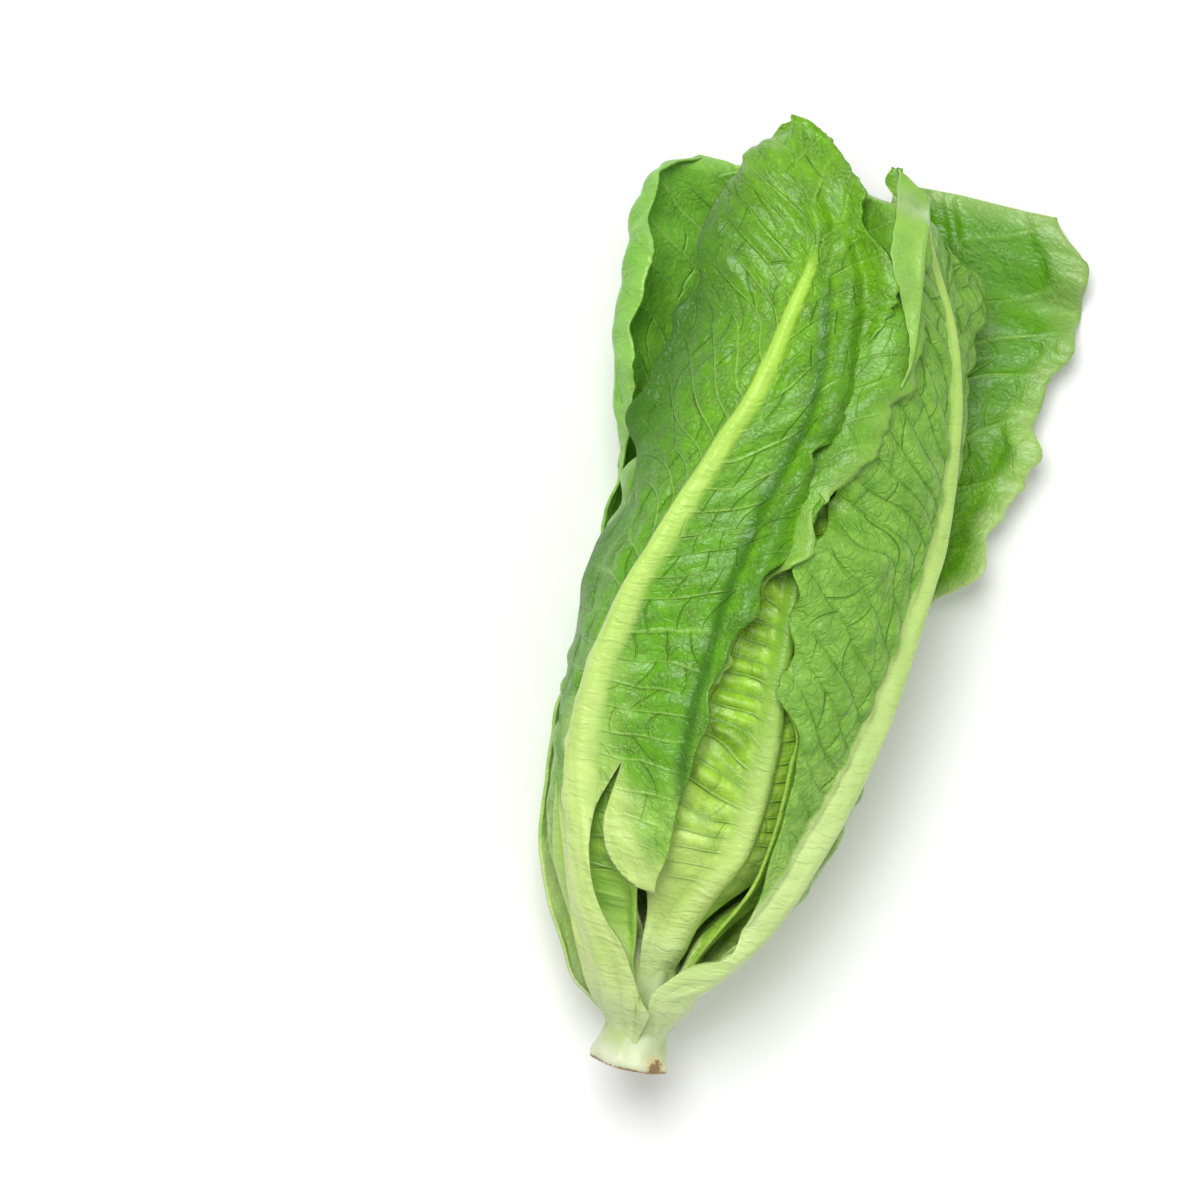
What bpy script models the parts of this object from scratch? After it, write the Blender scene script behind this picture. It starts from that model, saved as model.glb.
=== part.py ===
"""A trimmed head of romaine lettuce lying on its side: a cut stem and the leaves that grow round it.

Every leaf is a loft of crescent sections: a thin blade with a thick midrib on its outer face. The leaves are laid
from the heart outwards, each one resting on what it wraps, in an angle, station and radius about the head's axis.
Lengths are in millimetres until a mesh is made, where they become metres. The head lies along +Y, stem end first,
and angles run from +X over +Z, so 90 degrees is the side that faces up.
"""

import math

import bmesh
import bpy
import numpy as np
from mathutils import Vector

MM = 0.001

# Size of the whole head
HEAD_LENGTH = 260.0
FLATNESS = 0.82
REST_HEIGHT = 37.5

# Outline of the head: stations from the cut, and the radius of the outermost leaves there
OUTLINE_AT = (0, 6, 12, 16, 20, 29, 39, 50, 61, 75, 91, 104, 130, 150, 175, 200, 220, 235, 248, 260)
OUTLINE = (10.5, 9.6, 9.2, 10.2, 12, 17.6, 24.5, 30.4, 34.8, 39, 42.3, 44.3, 45.6, 45.4, 44.6, 43, 38.5, 32.5, 26, 18)
AXIS_AT = (0, 24, 50, 75, 100, 130, 150, 175, 200, 230, 260)
AXIS_SIDEWAYS = (0, 0, 1, 2.6, 3.6, 5.4, 6.6, 6.8, 5, 2, -5)
HEIGHT_AT = (0, 60, 100, 150, 200, 230, 260)
AXIS_BELOW_REST_HEIGHT = (10.0, 3.4, 0.3, 0, 1.5, 4.0, 7.0)
SQUASH_AT = (0, 20, 80, 260)

# Stem: a flared foot, a neck, and a cone that ends inside the heart
STEM_AT = (0, 1.5, 5, 10, 16, 24, 34, 46, 56, 64)
STEM_RADIUS = (10.2, 10.6, 9.4, 8.4, 8.2, 7.8, 6.4, 4.2, 2.4, 0.8)
STEM_HOLLOW = 0.8
STEM_SIDES = 20

# Leaf thicknesses
BLADE = 0.85
MARGIN = 0.7
RIB_AT = (0, 0.05, 0.12, 0.3, 0.5, 0.7, 0.85, 1.0)
RIB_HEIGHT = (0.6, 3.4, 4.6, 4.2, 3.3, 2.2, 1.1, 0.2)
RIB_HALF_WIDTH = (9.0, 8.4, 6.8, 5.8, 4.6, 3.2, 2.0, 1.0)

# Room between neighbouring solids
STEM_GAP = 0.6
LEAF_GAP = 1.15
GIVE = 1.2

# Share of the half width at which a leaf that leans away is widest
BRIM_AT = 0.75

# Leaf outline that the hidden leaves share: half width in mm against the share of the leaf's length
SHAPE_AT = (0, 0.06, 0.14, 0.24, 0.38, 0.54, 0.7, 0.82, 0.91, 0.97, 1.0)
SHAPE = (8.5, 8.5, 12, 19, 28, 35, 37, 33, 24, 12, 2)

# Ripples of the margin, in the outline and out of the leaf's surface
NOTCH_DEPTH = 1.5
NOTCH_PITCH = 31.0
RUFFLE_HEIGHT = 2.6
RUFFLE_PITCH = 44.0

# Working grids: the form of a leaf, and the radius reached so far by angle and station
FORM_ROWS = 60
FORM_SIDE = 14
ANGLE_STEP = 3.0
STATION_STEP = 2.5
REACH = 2
SAMPLES = 12
SETTLE_TURNS = 8
SMALLEST_GAP = 0.45

# Leaf A's slit beside the stalk, as seen from above: sideways and along the head
SLIT = ((-20.3, 81.0), (-21.3, 76.0), (-23.4, 66.0), (-22.3, 58.5), (-18.0, 52.0), (-11.5, 48.6), (-5.4, 48.4),
        (2.5, 47.0), (8.0, 38.0), (3.0, 27.0), (-6.5, 30.0), (-9.6, 33.6), (-15.0, 39.0), (-19.5, 47.0),
        (-22.5, 57.0), (-24.3, 66.0), (-22.6, 74.5))


def smooth_curve(stations, values, at):
    """Values of a smooth curve through the stations, read at other stations. Values may be rows of numbers."""
    t = np.asarray(stations, float)
    y = np.asarray(values, float)
    more = (1,) * (y.ndim - 1)
    step = np.diff(t)
    before, after = step[:-1].reshape((-1,) + more), step[1:].reshape((-1,) + more)
    rise = np.diff(y, axis=0) / step.reshape((-1,) + more)
    inner = (rise[:-1] * after + rise[1:] * before) / (before + after)
    inner = np.where(rise[:-1] * rise[1:] <= 0, 0.0, inner)
    slope = np.concatenate([rise[:1], inner, rise[-1:]])
    at = np.clip(np.asarray(at, float), t[0], t[-1])
    i = np.clip(np.searchsorted(t, at, side="right") - 1, 0, len(t) - 2)
    h = step[i].reshape(i.shape + more)
    f = (np.asarray(at - t[i]) / step[i]).reshape(i.shape + more)
    return (
        y[i] * (1 + 2 * f) * (1 - f) ** 2
        + y[i + 1] * f * f * (3 - 2 * f)
        + h * slope[i] * f * (1 - f) ** 2
        + h * slope[i + 1] * f * f * (f - 1)
    )


def head_radius(s):
    return smooth_curve(OUTLINE_AT, OUTLINE, s)


def stem_radius(s):
    radius = smooth_curve(STEM_AT, STEM_RADIUS, s)
    return np.where(np.asarray(s) > STEM_AT[-1], 0.0, radius)


def axis_at(s):
    """Sideways place and height of the head's axis."""
    return (
        smooth_curve(AXIS_AT, AXIS_SIDEWAYS, s),
        REST_HEIGHT - smooth_curve(HEIGHT_AT, AXIS_BELOW_REST_HEIGHT, s),
    )


def squash(s):
    """How much lower than wide the head is: round at the stem, oval in the body."""
    return smooth_curve(SQUASH_AT, (1, 1, FLATNESS, FLATNESS), s)


def place(angle, s, radius):
    """Points in space for angles in degrees, stations and radii about the axis."""
    x, z = axis_at(s)
    turn = np.radians(angle)
    return np.stack(
        np.broadcast_arrays(
            x + radius * np.cos(turn), s, z + squash(s) * radius * np.sin(turn)
        ),
        axis=-1,
    )


def table_radius(kept, angle, s):
    """Radius at which a point comes to the surface that the head lies on, or to the leaf that lies there."""
    drop = -squash(s) * np.sin(np.radians(angle))
    above = kept["above"] * smooth_step(np.mod(angle, 360), 251, 261)
    return np.where(drop > 0.05, (axis_at(s)[1] - above) / np.maximum(drop, 0.05), 1e4)


def smooth_step(x, low, high):
    t = np.clip((x - low) / (high - low), 0, 1)
    return t * t * (3 - 2 * t)


def leaf(name, base, tip, rails, tightness, **more):
    """One leaf: where it leaves the stem, where it ends, its rails, and its radius as a share of the head's."""
    kept = dict(name=name, base=base, tip=tip, rails=rails, tightness=tightness, reach=None, flared=1,
                above=0.0, sag=0.0, ruffle=1.0, columns=3, flank=1, rows=22, phase=0.0)
    kept.update(more)
    return kept


def ruled_rails(angle, turn, width, tightness, base, tip):
    """Rails of a leaf that is hidden: a middle line that turns steadily, and margins from the shared outline."""
    share = np.array(SHAPE_AT)
    at = base + share * (tip - base)
    middle = angle + turn * share
    radius = np.maximum(tightness * head_radius(at), stem_radius(at) + 2)
    spread = np.degrees(np.array(SHAPE) * width / radius)
    spread = np.minimum(spread, 150)
    return at, middle, middle - spread, middle + spread


def hidden_leaf(name, base, tip, angle, turn, width, tightness, **more):
    rails = ruled_rails(angle, turn, width, tightness, base, tip)
    return leaf(name, base, tip, rails, tightness, **more)


def leaves():
    """The leaves from the heart outwards. Rails are stations, middle line, lower margin and higher margin."""
    right_at = (10, 20, 27, 36, 44, 52, 64, 78, 91, 104, 118, 132, 146, 156, 170, 183, 195, 205, 216, 226, 235, 244,
                253)
    front_at = (9, 19, 26, 33, 41, 50, 60, 72, 86, 102, 115, 124, 132, 138, 143, 149, 153, 160, 166, 173, 177, 190,
                200, 208, 219, 231, 242, 251, 256, 260)
    return [
        hidden_leaf("heart_leaf_1", 53, 150, 100, 20, 0.42, 0.17, flank=0, rows=12, ruffle=0.3),
        hidden_leaf("heart_leaf_2", 50, 168, 237, 20, 0.62, 0.26, flank=0, rows=12, ruffle=0.3, phase=1.0),
        hidden_leaf("heart_leaf_3", 46, 186, 15, 15, 0.74, 0.34, flank=0, rows=13, ruffle=0.4, phase=2.0),
        hidden_leaf("heart_leaf_4", 42, 202, 152, 15, 0.84, 0.41, flank=0, rows=14, ruffle=0.5, phase=3.0),
        hidden_leaf("inner_leaf_under", 38, 216, 290, 10, 0.9, 0.5, flank=0, rows=16, ruffle=0.6, phase=4.0),
        hidden_leaf("inner_leaf_left", 35, 230, 170, -12, 1.0, 0.6, flank=0, rows=16, ruffle=0.7, phase=5.0),
        leaf(
            "inner_leaf_front", 27, 220,
            (
                (27, 33, 40, 50, 64, 80, 95, 110, 125, 140, 155, 170, 185, 200, 212, 220),
                (76, 70, 67, 66, 63, 65, 68, 73, 76, 79, 82, 84, 87, 90, 92, 94),
                (38, 35, 32, 29, 25, 22, 20, 18, 18, 19, 21, 25, 32, 46, 68, 90),
                (118, 118, 118, 119, 121, 125, 129, 133, 137, 140, 142, 142, 139, 129, 113, 98),
            ),
            0.73, phase=0.7,
        ),
        hidden_leaf("inner_leaf_back", 29, 240, 238, 8, 1.0, 0.68, flank=0, rows=17, phase=2.5),
        leaf(
            "inner_leaf_right", 23, 238,
            (
                (23, 29, 36, 48, 62, 78, 92, 106, 120, 140, 160, 180, 200, 218, 230, 238),
                (-12, -12, -12, -12, -12, -12, -11, -10, -8, -6, -4, 0, 5, 12, 20, 26),
                (-48, -48, -46, -46, -47, -49, -50, -51, -52, -52, -52, -50, -46, -34, -12, 15),
                (34, 38, 43, 48, 51.5, 55.5, 60, 66, 70, 72, 70, 66, 62, 58, 50, 36),
            ),
            0.82, phase=3.3,
        ),
        leaf(
            "middle_leaf_left", 19, 244,
            (
                (19, 25, 34, 46, 60, 80, 100, 120, 140, 160, 175, 190, 205, 220, 232, 240, 244),
                (205, 200, 193, 187, 182, 178, 175, 172, 168, 164, 161, 158, 156, 153, 150, 146, 142),
                (165, 160, 152, 146, 142, 138, 134, 130, 127, 124, 122, 121, 120, 120, 122, 128, 136),
                (242, 239, 234, 230, 228, 227, 226, 224, 220, 212, 206, 200, 195, 190, 183, 172, 152),
            ),
            0.87, phase=1.9,
        ),
        hidden_leaf("middle_leaf_under", 21, 246, 282, 6, 1.0, 0.78, rows=21, phase=0.4),
        leaf(
            "outer_leaf_right", 10, 253,
            (
                right_at,
                (46, 60, 46, 36, 32, 32, 30, 27, 24.5, 23, 22.5, 21, 19.5, 16, 18.4, 21.4, 22, 24, 28, 34, 39, 40, 44),
                (2, 8, 0, -16, -27, -33, -38, -42, -46, -49, -52, -55, -57, -58, -58, -57, -54, -48, -40, -28, -14, 4,
                 28),
                (80, 84, 68, 47, 45, 48, 54, 56, 60, 69, 76, 80, 81, 77.5, 75.4, 73, 63, 64, 68.5, 67, 64, 60, 54),
            ),
            0.93, phase=2.2,
        ),
        leaf(
            "middle_leaf_front", 20, 254,
            (
                (20, 25, 32, 42, 55, 71, 85, 101, 116, 130, 145, 160, 175, 190, 205, 220, 235, 246, 254),
                (152, 154, 156, 157, 157, 156, 152, 147, 142, 137, 130, 122, 115, 109, 105, 102, 101, 103, 105),
                (110, 114, 118, 118, 114, 109, 105, 102, 98, 93, 86, 77, 69, 60, 55, 55, 62, 76, 98),
                (192, 192, 190, 188, 190, 194, 196, 196, 192, 186, 176, 164, 155, 150, 147, 145, 143, 134, 112),
            ),
            0.89, phase=4.1,
        ),
        leaf(
            "outer_leaf_under", 11, 246,
            (
                (11, 25, 40, 60, 80, 100, 125, 140, 150, 158, 168, 182, 198, 212, 226, 236, 246),
                (226, 226, 226, 227, 228, 228, 227, 226, 225, 224, 223, 222, 221, 220, 218, 214, 206),
                (190, 190, 191, 192, 192, 192, 190, 188, 184, 179, 173, 167, 165, 165, 167, 171, 180),
                (262, 262, 262, 266, 271, 275, 278, 278, 277, 276, 274, 271, 266, 260, 250, 238, 222),
            ),
            0.94, above=2.5, sag=6.5, columns=4, rows=25, ruffle=0.4, phase=5.2, flared=-1,
            reach=(
                (11, 28, 60, 100, 140, 155, 170, 185, 200, 215, 230, 240, 246),
                (9, 16, 33, 42, 43, 43, 43, 42.5, 41.5, 38.5, 34.5, 30, 27),
                (9, 16, 33, 42, 44, 46.5, 51, 54, 55.5, 55.5, 53, 47, 40),
                (9, 16, 33, 42, 44, 45, 48, 50, 51, 51, 49, 44, 38),
            ),
        ),
        leaf(
            "outer_leaf_front", 9, 260,
            (
                front_at,
                (94, 99, 106, 114, 122, 127, 130.5, 135, 137, 137, 134.6, 133, 130.5, 128, 126.5, 124.6, 123.4, 120.5,
                 118, 115, 112.7, 107.5, 104.7, 102.8, 99.4, 98.5, 107, 113, 116, 118),
                (83, 84, 88, 93, 98, 102, 99, 100, 98, 99, 95.6, 94.5, 93, 90.5, 86, 80, 82.5, 82.5, 85, 85.5, 79.5,
                 78, 72, 69.5, 70, 75.5, 79.5, 87, 92, 102),
                (148, 148, 146, 144, 143, 144, 147, 152, 159, 166, 169, 169, 168, 165, 163, 160, 159.3, 158.8, 158.3,
                 158, 157.6, 154, 150.5, 147.5, 144, 142.3, 142, 146, 146, 136),
            ),
            0.97, columns=4, rows=28, phase=0.2, ruffle=0.7,
        ),
        leaf(
            "outer_leaf_spread", 9, 254,
            (
                (9, 18, 28, 40, 55, 75, 95, 115, 132, 142, 150, 158, 172, 185, 198, 215, 230, 244, 254),
                (-52, -53, -54, -55, -56, -58, -59, -59, -58, -57, -55, -54, -52, -50, -48, -46, -44, -43, -43),
                (-96, -98, -97, -95, -94, -94, -95, -98, -100, -100, -99, -97, -92, -87, -82, -76, -70, -66, -62),
                (-12, -18, -22, -24, -27, -31, -34, -36, -37, -34, -26, -25, -26, -26, -25, -26, -25, -22, -24),
            ),
            1.0, columns=4, rows=26, ruffle=0.4, phase=1.2,
            reach=(
                (9, 28, 60, 100, 140, 152, 170, 200, 225, 240, 254),
                (9, 20, 35, 44, 47.5, 48.5, 49.5, 50.5, 50, 48, 45),
                (9, 20, 36, 46, 52, 57, 61, 66, 69, 68, 65),
                (9, 20, 36, 47, 54, 60, 66, 72, 76, 76, 71),
            ),
        ),
    ]


def wanted_radius(kept, v, u, angle, s):
    """The radius that a leaf would take with nothing in its way, on a grid of rows and columns."""
    outline = kept["tightness"] * head_radius(s)
    if kept["reach"]:
        at, middle, brim, edge = kept["reach"]
        out = np.clip(u * kept["flared"], 0, 1)
        middle, brim, edge = (smooth_curve(at, each, s) for each in (middle, brim, edge))
        outline = middle + (brim - middle) * np.clip(out / BRIM_AT, 0, 1) ** 1.3
        outline = outline + (edge - brim) * np.clip((out - BRIM_AT) / (1 - BRIM_AT), 0, 1) ** 1.6
        outline = outline + kept["sag"] * smooth_step(-u * kept["flared"], 0.08, 0.4) * smooth_step(s, 40, 90)
    start = stem_radius(s) + STEM_GAP
    radius = start + (outline - start) * smooth_step(v, 0.0, 0.2)
    along = s - kept["base"]
    wave = np.sin(2 * math.pi * along / RUFFLE_PITCH + kept["phase"] + np.where(u > 0, 0.0, 1.7))
    return radius + kept["ruffle"] * RUFFLE_HEIGHT * wave * np.abs(u) ** 4 * smooth_step(v, 0.25, 0.5)


def thickness(kept, v, off_rib):
    """Thickness of a leaf at a share v of its length and a distance from its middle line."""
    size = (kept["tip"] - kept["base"]) / HEAD_LENGTH
    height = smooth_curve(RIB_AT, RIB_HEIGHT, v) * size
    half = smooth_curve(RIB_AT, RIB_HALF_WIDTH, v) * size
    return blade_thickness(v) + height * np.clip(1 - (off_rib / half) ** 2, 0, 1) ** 1.3


def blade_thickness(v):
    return MARGIN + (BLADE - MARGIN) * (1 - v)


def rib_half_width(kept, v):
    return smooth_curve(RIB_AT, RIB_HALF_WIDTH, v) * (kept["tip"] - kept["base"]) / HEAD_LENGTH


def notch(kept, s, side):
    """How far the margin stands out or in, in mm."""
    along = 2 * math.pi * (s - kept["base"]) / NOTCH_PITCH + kept["phase"] * 3 + side
    return NOTCH_DEPTH * (np.sin(along) + 0.6 * np.sin(1.9 * along + 1.0))


def leaf_angle(kept, v, u):
    """Angle about the axis of a point at share v of the length and share u of the half width."""
    at, middle, low, high = kept["rails"]
    s = kept["base"] + v * (kept["tip"] - kept["base"])
    radius = np.maximum(kept["tightness"] * head_radius(s), 8.0)
    worn = smooth_step(v, 0.25, 0.4) * (1 - smooth_step(v, 0.93, 1.0))
    centre = smooth_curve(at, middle, s)
    to_high = smooth_curve(at, high, s) - centre + worn * np.degrees(notch(kept, s, 0.0) / radius)
    to_low = centre - smooth_curve(at, low, s) + worn * np.degrees(notch(kept, s, 2.0) / radius)
    return centre + np.where(u > 0, u * to_high, u * to_low)


class Reached:
    """The radius that the stem and the leaves laid so far reach, by station and angle."""

    def __init__(self):
        self.stations = np.arange(0, HEAD_LENGTH + STATION_STEP, STATION_STEP)
        self.angles = np.arange(0, 360, ANGLE_STEP)
        self.radius = np.repeat(stem_radius(self.stations)[:, None], len(self.angles), axis=1)

    def cleared(self):
        """The radius to stay outside, which is smooth and nowhere less than what is reached."""
        field = self.radius
        for axis in (0, 1):
            field = self.sweep(field, axis, np.max)
        for axis in (0, 1):
            field = self.sweep(field, axis, np.mean)
        return field

    def sweep(self, field, axis, gather):
        if axis == 1:
            return gather([np.roll(field, k, axis=1) for k in range(-REACH, REACH + 1)], axis=0)
        rows = np.arange(len(self.stations))
        shifted = [field[np.clip(rows + k, 0, len(rows) - 1)] for k in range(-REACH, REACH + 1)]
        return gather(shifted, axis=0)

    def read(self, field, angle, s):
        """A field read between its grid points."""
        row = np.clip(s / STATION_STEP, 0, len(self.stations) - 1.001)
        column = (angle / ANGLE_STEP) % len(self.angles)
        i, j = row.astype(int), column.astype(int)
        fi, fj = row - i, column - j
        i, j = np.minimum(i, len(self.stations) - 2), j % len(self.angles)
        k = (j + 1) % len(self.angles)
        near = field[i, j] * (1 - fj) + field[i, k] * fj
        far = field[i + 1, j] * (1 - fj) + field[i + 1, k] * fj
        return near * (1 - fi) + far * fi

    def add(self, outer):
        """Takes in the outer face of a leaf, sampled closely, at the grid points all round each sample."""
        angle, s, radius = polar(samples(outer))
        row = np.floor(s / STATION_STEP).astype(int)
        column = np.floor(angle / ANGLE_STEP).astype(int)
        for i in (0, 1):
            for j in (0, 1):
                k = np.clip(row + i, 0, len(self.stations) - 1)
                np.maximum.at(self.radius, (k, (column + j) % len(self.angles)), radius)


def samples(face):
    """Points all over the triangles of a face of rows and columns."""
    share = np.linspace(0, 1, SAMPLES)
    p, q = np.meshgrid(share, share, indexing="ij")
    p, q = p[..., None, None, None], q[..., None, None, None]
    a, b, c, d = face[:-1, :-1], face[:-1, 1:], face[1:, 1:], face[1:, :-1]
    slant = (np.arange(face.shape[1] - 1) >= face.shape[1] // 2)[:, None]
    left = np.where(q > p, a + q * (b - a) + p * (c - b), a + p * (d - a) + q * (c - d))
    right = np.where(p + q < 1, a + q * (b - a) + p * (d - a), c + (1 - q) * (d - c) + (1 - p) * (b - c))
    return np.where(slant, right, left)


def polar(points):
    """Angle, station and radius of points in space."""
    s = points[..., 1]
    x, z = axis_at(s)
    across, up = points[..., 0] - x, (points[..., 2] - z) / squash(s)
    return np.degrees(np.arctan2(up, across)) % 360, s, np.hypot(across, up)


def stretch_of(angle, s, radius):
    """How far the radius must grow for a wall 1 mm thick, because the wall leans."""
    points = place(angle, s, radius)
    along = np.gradient(points, axis=0)
    across = np.gradient(points, axis=1)
    normal = np.cross(along, across)
    normal /= np.maximum(np.linalg.norm(normal, axis=-1, keepdims=True), 1e-9)
    turn = np.radians(angle)
    outwards = np.stack([np.cos(turn), np.zeros_like(turn), squash(s) * np.sin(turn)], axis=-1)
    return 1 / np.clip(np.abs((outwards * normal).sum(axis=-1)), 0.42, 1)


def lay_leaf(kept, reached):
    """Settles a leaf on what is inside it, and gives the points of its outer and inner face."""
    v = np.sin(np.linspace(0, math.pi / 2, FORM_ROWS)) ** 1.25
    side = np.linspace(0, 1, FORM_SIDE) ** 1.3
    u = np.concatenate([-side[:0:-1], side])
    v_grid, u_grid = np.meshgrid(v, u, indexing="ij")
    s = kept["base"] + v_grid * (kept["tip"] - kept["base"])
    angle = leaf_angle(kept, v_grid, u_grid)
    wanted = wanted_radius(kept, v_grid, u_grid, angle, s)
    gap = STEM_GAP + (LEAF_GAP - STEM_GAP) * smooth_step(v_grid, 0.0, 0.12)
    least = reached.read(reached.cleared(), angle, s) + gap
    for turn in range(SETTLE_TURNS):
        give = GIVE * GIVE * smooth_step(v_grid, 0.0, 0.1)
        inner = (wanted + least + np.sqrt((wanted - least) ** 2 + give)) / 2
        stretch = stretch_of(angle, s, inner)
        off_rib = np.abs(u_grid) * half_widths(kept, v_grid, u_grid, angle, inner)
        wall = thickness(kept, v_grid, off_rib) * stretch
        outer = np.minimum(inner + wall, table_radius(kept, angle, s))
        kept["form"] = dict(v=v, u=u, outer=outer, stretch=stretch)
        outer_face, inner_face = leaf_faces(kept)
        at, along, radius = polar(samples(inner_face))
        short = reached.read(reached.radius, at, along) + SMALLEST_GAP - radius
        short = np.maximum(short, 0).max(axis=(0, 1))
        if short.max() < 0.02:
            break
        least = least + spread_over(kept, short, v, u)
    reached.add(outer_face)
    if short.max() > 0.15:
        print(f"{kept['name']} is {short.max():.2f} mm short of its gap")
    return outer_face, inner_face


def spread_over(kept, short, v, u):
    """What each cell of the mesh is short of, as a field over the working grid."""
    rows = mesh_rows(kept)
    field = np.zeros((len(v), len(u)))
    for i in range(len(rows) - 1):
        near_rows = (v >= rows[i] - 0.02) & (v <= rows[i + 1] + 0.02)
        shares = section_shares(kept, (rows[i] + rows[i + 1]) / 2)
        for j in np.nonzero(short[i] > 0)[0]:
            near = (u >= shares[j] - 0.08) & (u <= shares[j + 1] + 0.08)
            patch = np.outer(near_rows, near) * (short[i, j] * 1.15)
            field = np.maximum(field, patch)
    return field


def half_widths(kept, v, u, angle, radius):
    """Width of the leaf from its middle line to the margin on the side of each point, in mm."""
    centre = leaf_angle(kept, v, np.zeros_like(u))
    edge = leaf_angle(kept, v, np.sign(u) + (u == 0))
    return np.radians(np.abs(edge - centre)) * radius


def section_shares(kept, v):
    """Columns of one section as shares of the half width: the crest, the rib's flanks, and the blade evenly."""
    s = kept["base"] + v * (kept["tip"] - kept["base"])
    radius = float(kept["tightness"] * head_radius(s))
    shares = []
    for side in (-1.0, 1.0):
        edge = float(leaf_angle(kept, v, side))
        centre = float(leaf_angle(kept, v, 0.0))
        half = math.radians(abs(edge - centre)) * radius
        rib = min(float(rib_half_width(kept, v)) / max(half, 1e-6), 0.6)
        blade = rib + (1 - rib) * np.linspace(0, 1, kept["columns"] + 1)
        shares.append(np.concatenate([[0.55 * rib] * kept["flank"], blade]))
    return np.concatenate([-shares[0][::-1], [0.0], shares[1]])


def mesh_rows(kept):
    """Shares of the leaf's length at which the mesh has its rows: closer together towards the tip."""
    return np.sin(np.linspace(0, math.pi / 2, kept["rows"] + 1)) ** 1.1


def leaf_faces(kept):
    """Points of the outer and the inner face of a leaf, in rows of columns."""
    form = kept["form"]
    rows = mesh_rows(kept)
    outer_rows = smooth_curve(form["v"], form["outer"], rows)
    stretch_rows = smooth_curve(form["v"], form["stretch"], rows)
    outer, inner = [], []
    for v, far, stretch in zip(rows, outer_rows, stretch_rows):
        s = kept["base"] + v * (kept["tip"] - kept["base"])
        u = section_shares(kept, v)
        angle = leaf_angle(kept, np.full_like(u, v), u)
        radius = np.minimum(smooth_curve(form["u"], far, u), table_radius(kept, angle, s))
        lean = smooth_curve(form["u"], stretch, u)
        off_rib = np.abs(u) * half_widths(kept, np.full_like(u, v), u, angle, radius)
        wall = thickness(kept, np.full_like(u, v), off_rib) * lean
        outer.append(place(angle, np.full_like(u, s), radius))
        inner.append(place(angle, np.full_like(u, s), radius - wall))
    return np.array(outer), np.array(inner)


def material(name, colour, roughness):
    made = bpy.data.materials.new(name)
    made.use_nodes = True
    shader = made.node_tree.nodes["Principled BSDF"]
    shader.inputs["Base Color"].default_value = (*colour, 1)
    shader.inputs["Roughness"].default_value = roughness
    shader.inputs["Metallic"].default_value = 0.0
    made.diffuse_color = (*colour, 1)
    return made


def loft(name, outer, inner, collection):
    """A closed solid between two faces of rows and columns, split into like triangles on both."""
    rows, columns = outer.shape[:2]
    mesh = bmesh.new()
    top = [[mesh.verts.new(p * MM) for p in row] for row in outer]
    low = [[mesh.verts.new(p * MM) for p in row] for row in inner]
    for i in range(rows - 1):
        for j in range(columns - 1):
            slant = j >= columns // 2
            for grid, outwards in ((top, True), (low, False)):
                a, b, c, d = grid[i][j], grid[i][j + 1], grid[i + 1][j + 1], grid[i + 1][j]
                split = ((a, b, d), (b, c, d)) if slant else ((a, b, c), (a, c, d))
                for corners in split:
                    mesh.faces.new(corners if outwards else corners[::-1])
    rim = [(0, j) for j in range(columns)] + [(i, columns - 1) for i in range(1, rows)]
    rim += [(rows - 1, j) for j in range(columns - 2, -1, -1)] + [(i, 0) for i in range(rows - 2, 0, -1)]
    for (i, j), (k, m) in zip(rim, rim[1:] + rim[:1]):
        mesh.faces.new((top[k][m], top[i][j], low[i][j]))
        mesh.faces.new((top[k][m], low[i][j], low[k][m]))
    bmesh.ops.recalc_face_normals(mesh, faces=mesh.faces)
    data = bpy.data.meshes.new(name)
    mesh.to_mesh(data)
    mesh.free()
    data.shade_smooth()
    made = bpy.data.objects.new(name, data)
    collection.objects.link(made)
    return made


def stem(collection):
    """The cut stem, turned from a profile: the foot is a little hollow where it was cut."""
    at = np.concatenate([[0, 0.7, 1.5], np.linspace(4, STEM_AT[-1], 12)])
    radius = smooth_curve(STEM_AT, STEM_RADIUS, at)
    profile = [(0.0, STEM_HOLLOW), (5.0, STEM_HOLLOW * 0.8)] + list(zip(radius, at))
    profile.append((0.0, STEM_AT[-1] + 0.8))
    mesh = bmesh.new()
    verts = [mesh.verts.new((r * MM, 0, z * MM)) for r, z in reversed(profile)]
    for a, b in zip(verts, verts[1:]):
        mesh.edges.new((a, b))
    data = bpy.data.meshes.new("stem")
    mesh.to_mesh(data)
    mesh.free()
    made = bpy.data.objects.new("stem", data)
    collection.objects.link(made)
    turned = made.modifiers.new("turned", "SCREW")
    turned.steps = turned.render_steps = STEM_SIDES
    turned.use_merge_vertices = True
    turned.merge_threshold = 0.00005
    turned.use_smooth_shade = True
    rise = axis_at(np.array([0.0, 60.0]))[1]
    lean = math.atan2(rise[1] - rise[0], 60.0)
    made.rotation_euler = (-math.pi / 2 + lean, 0, 0)
    made.location = (0, 0, rise[0] * MM)
    return made


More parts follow.
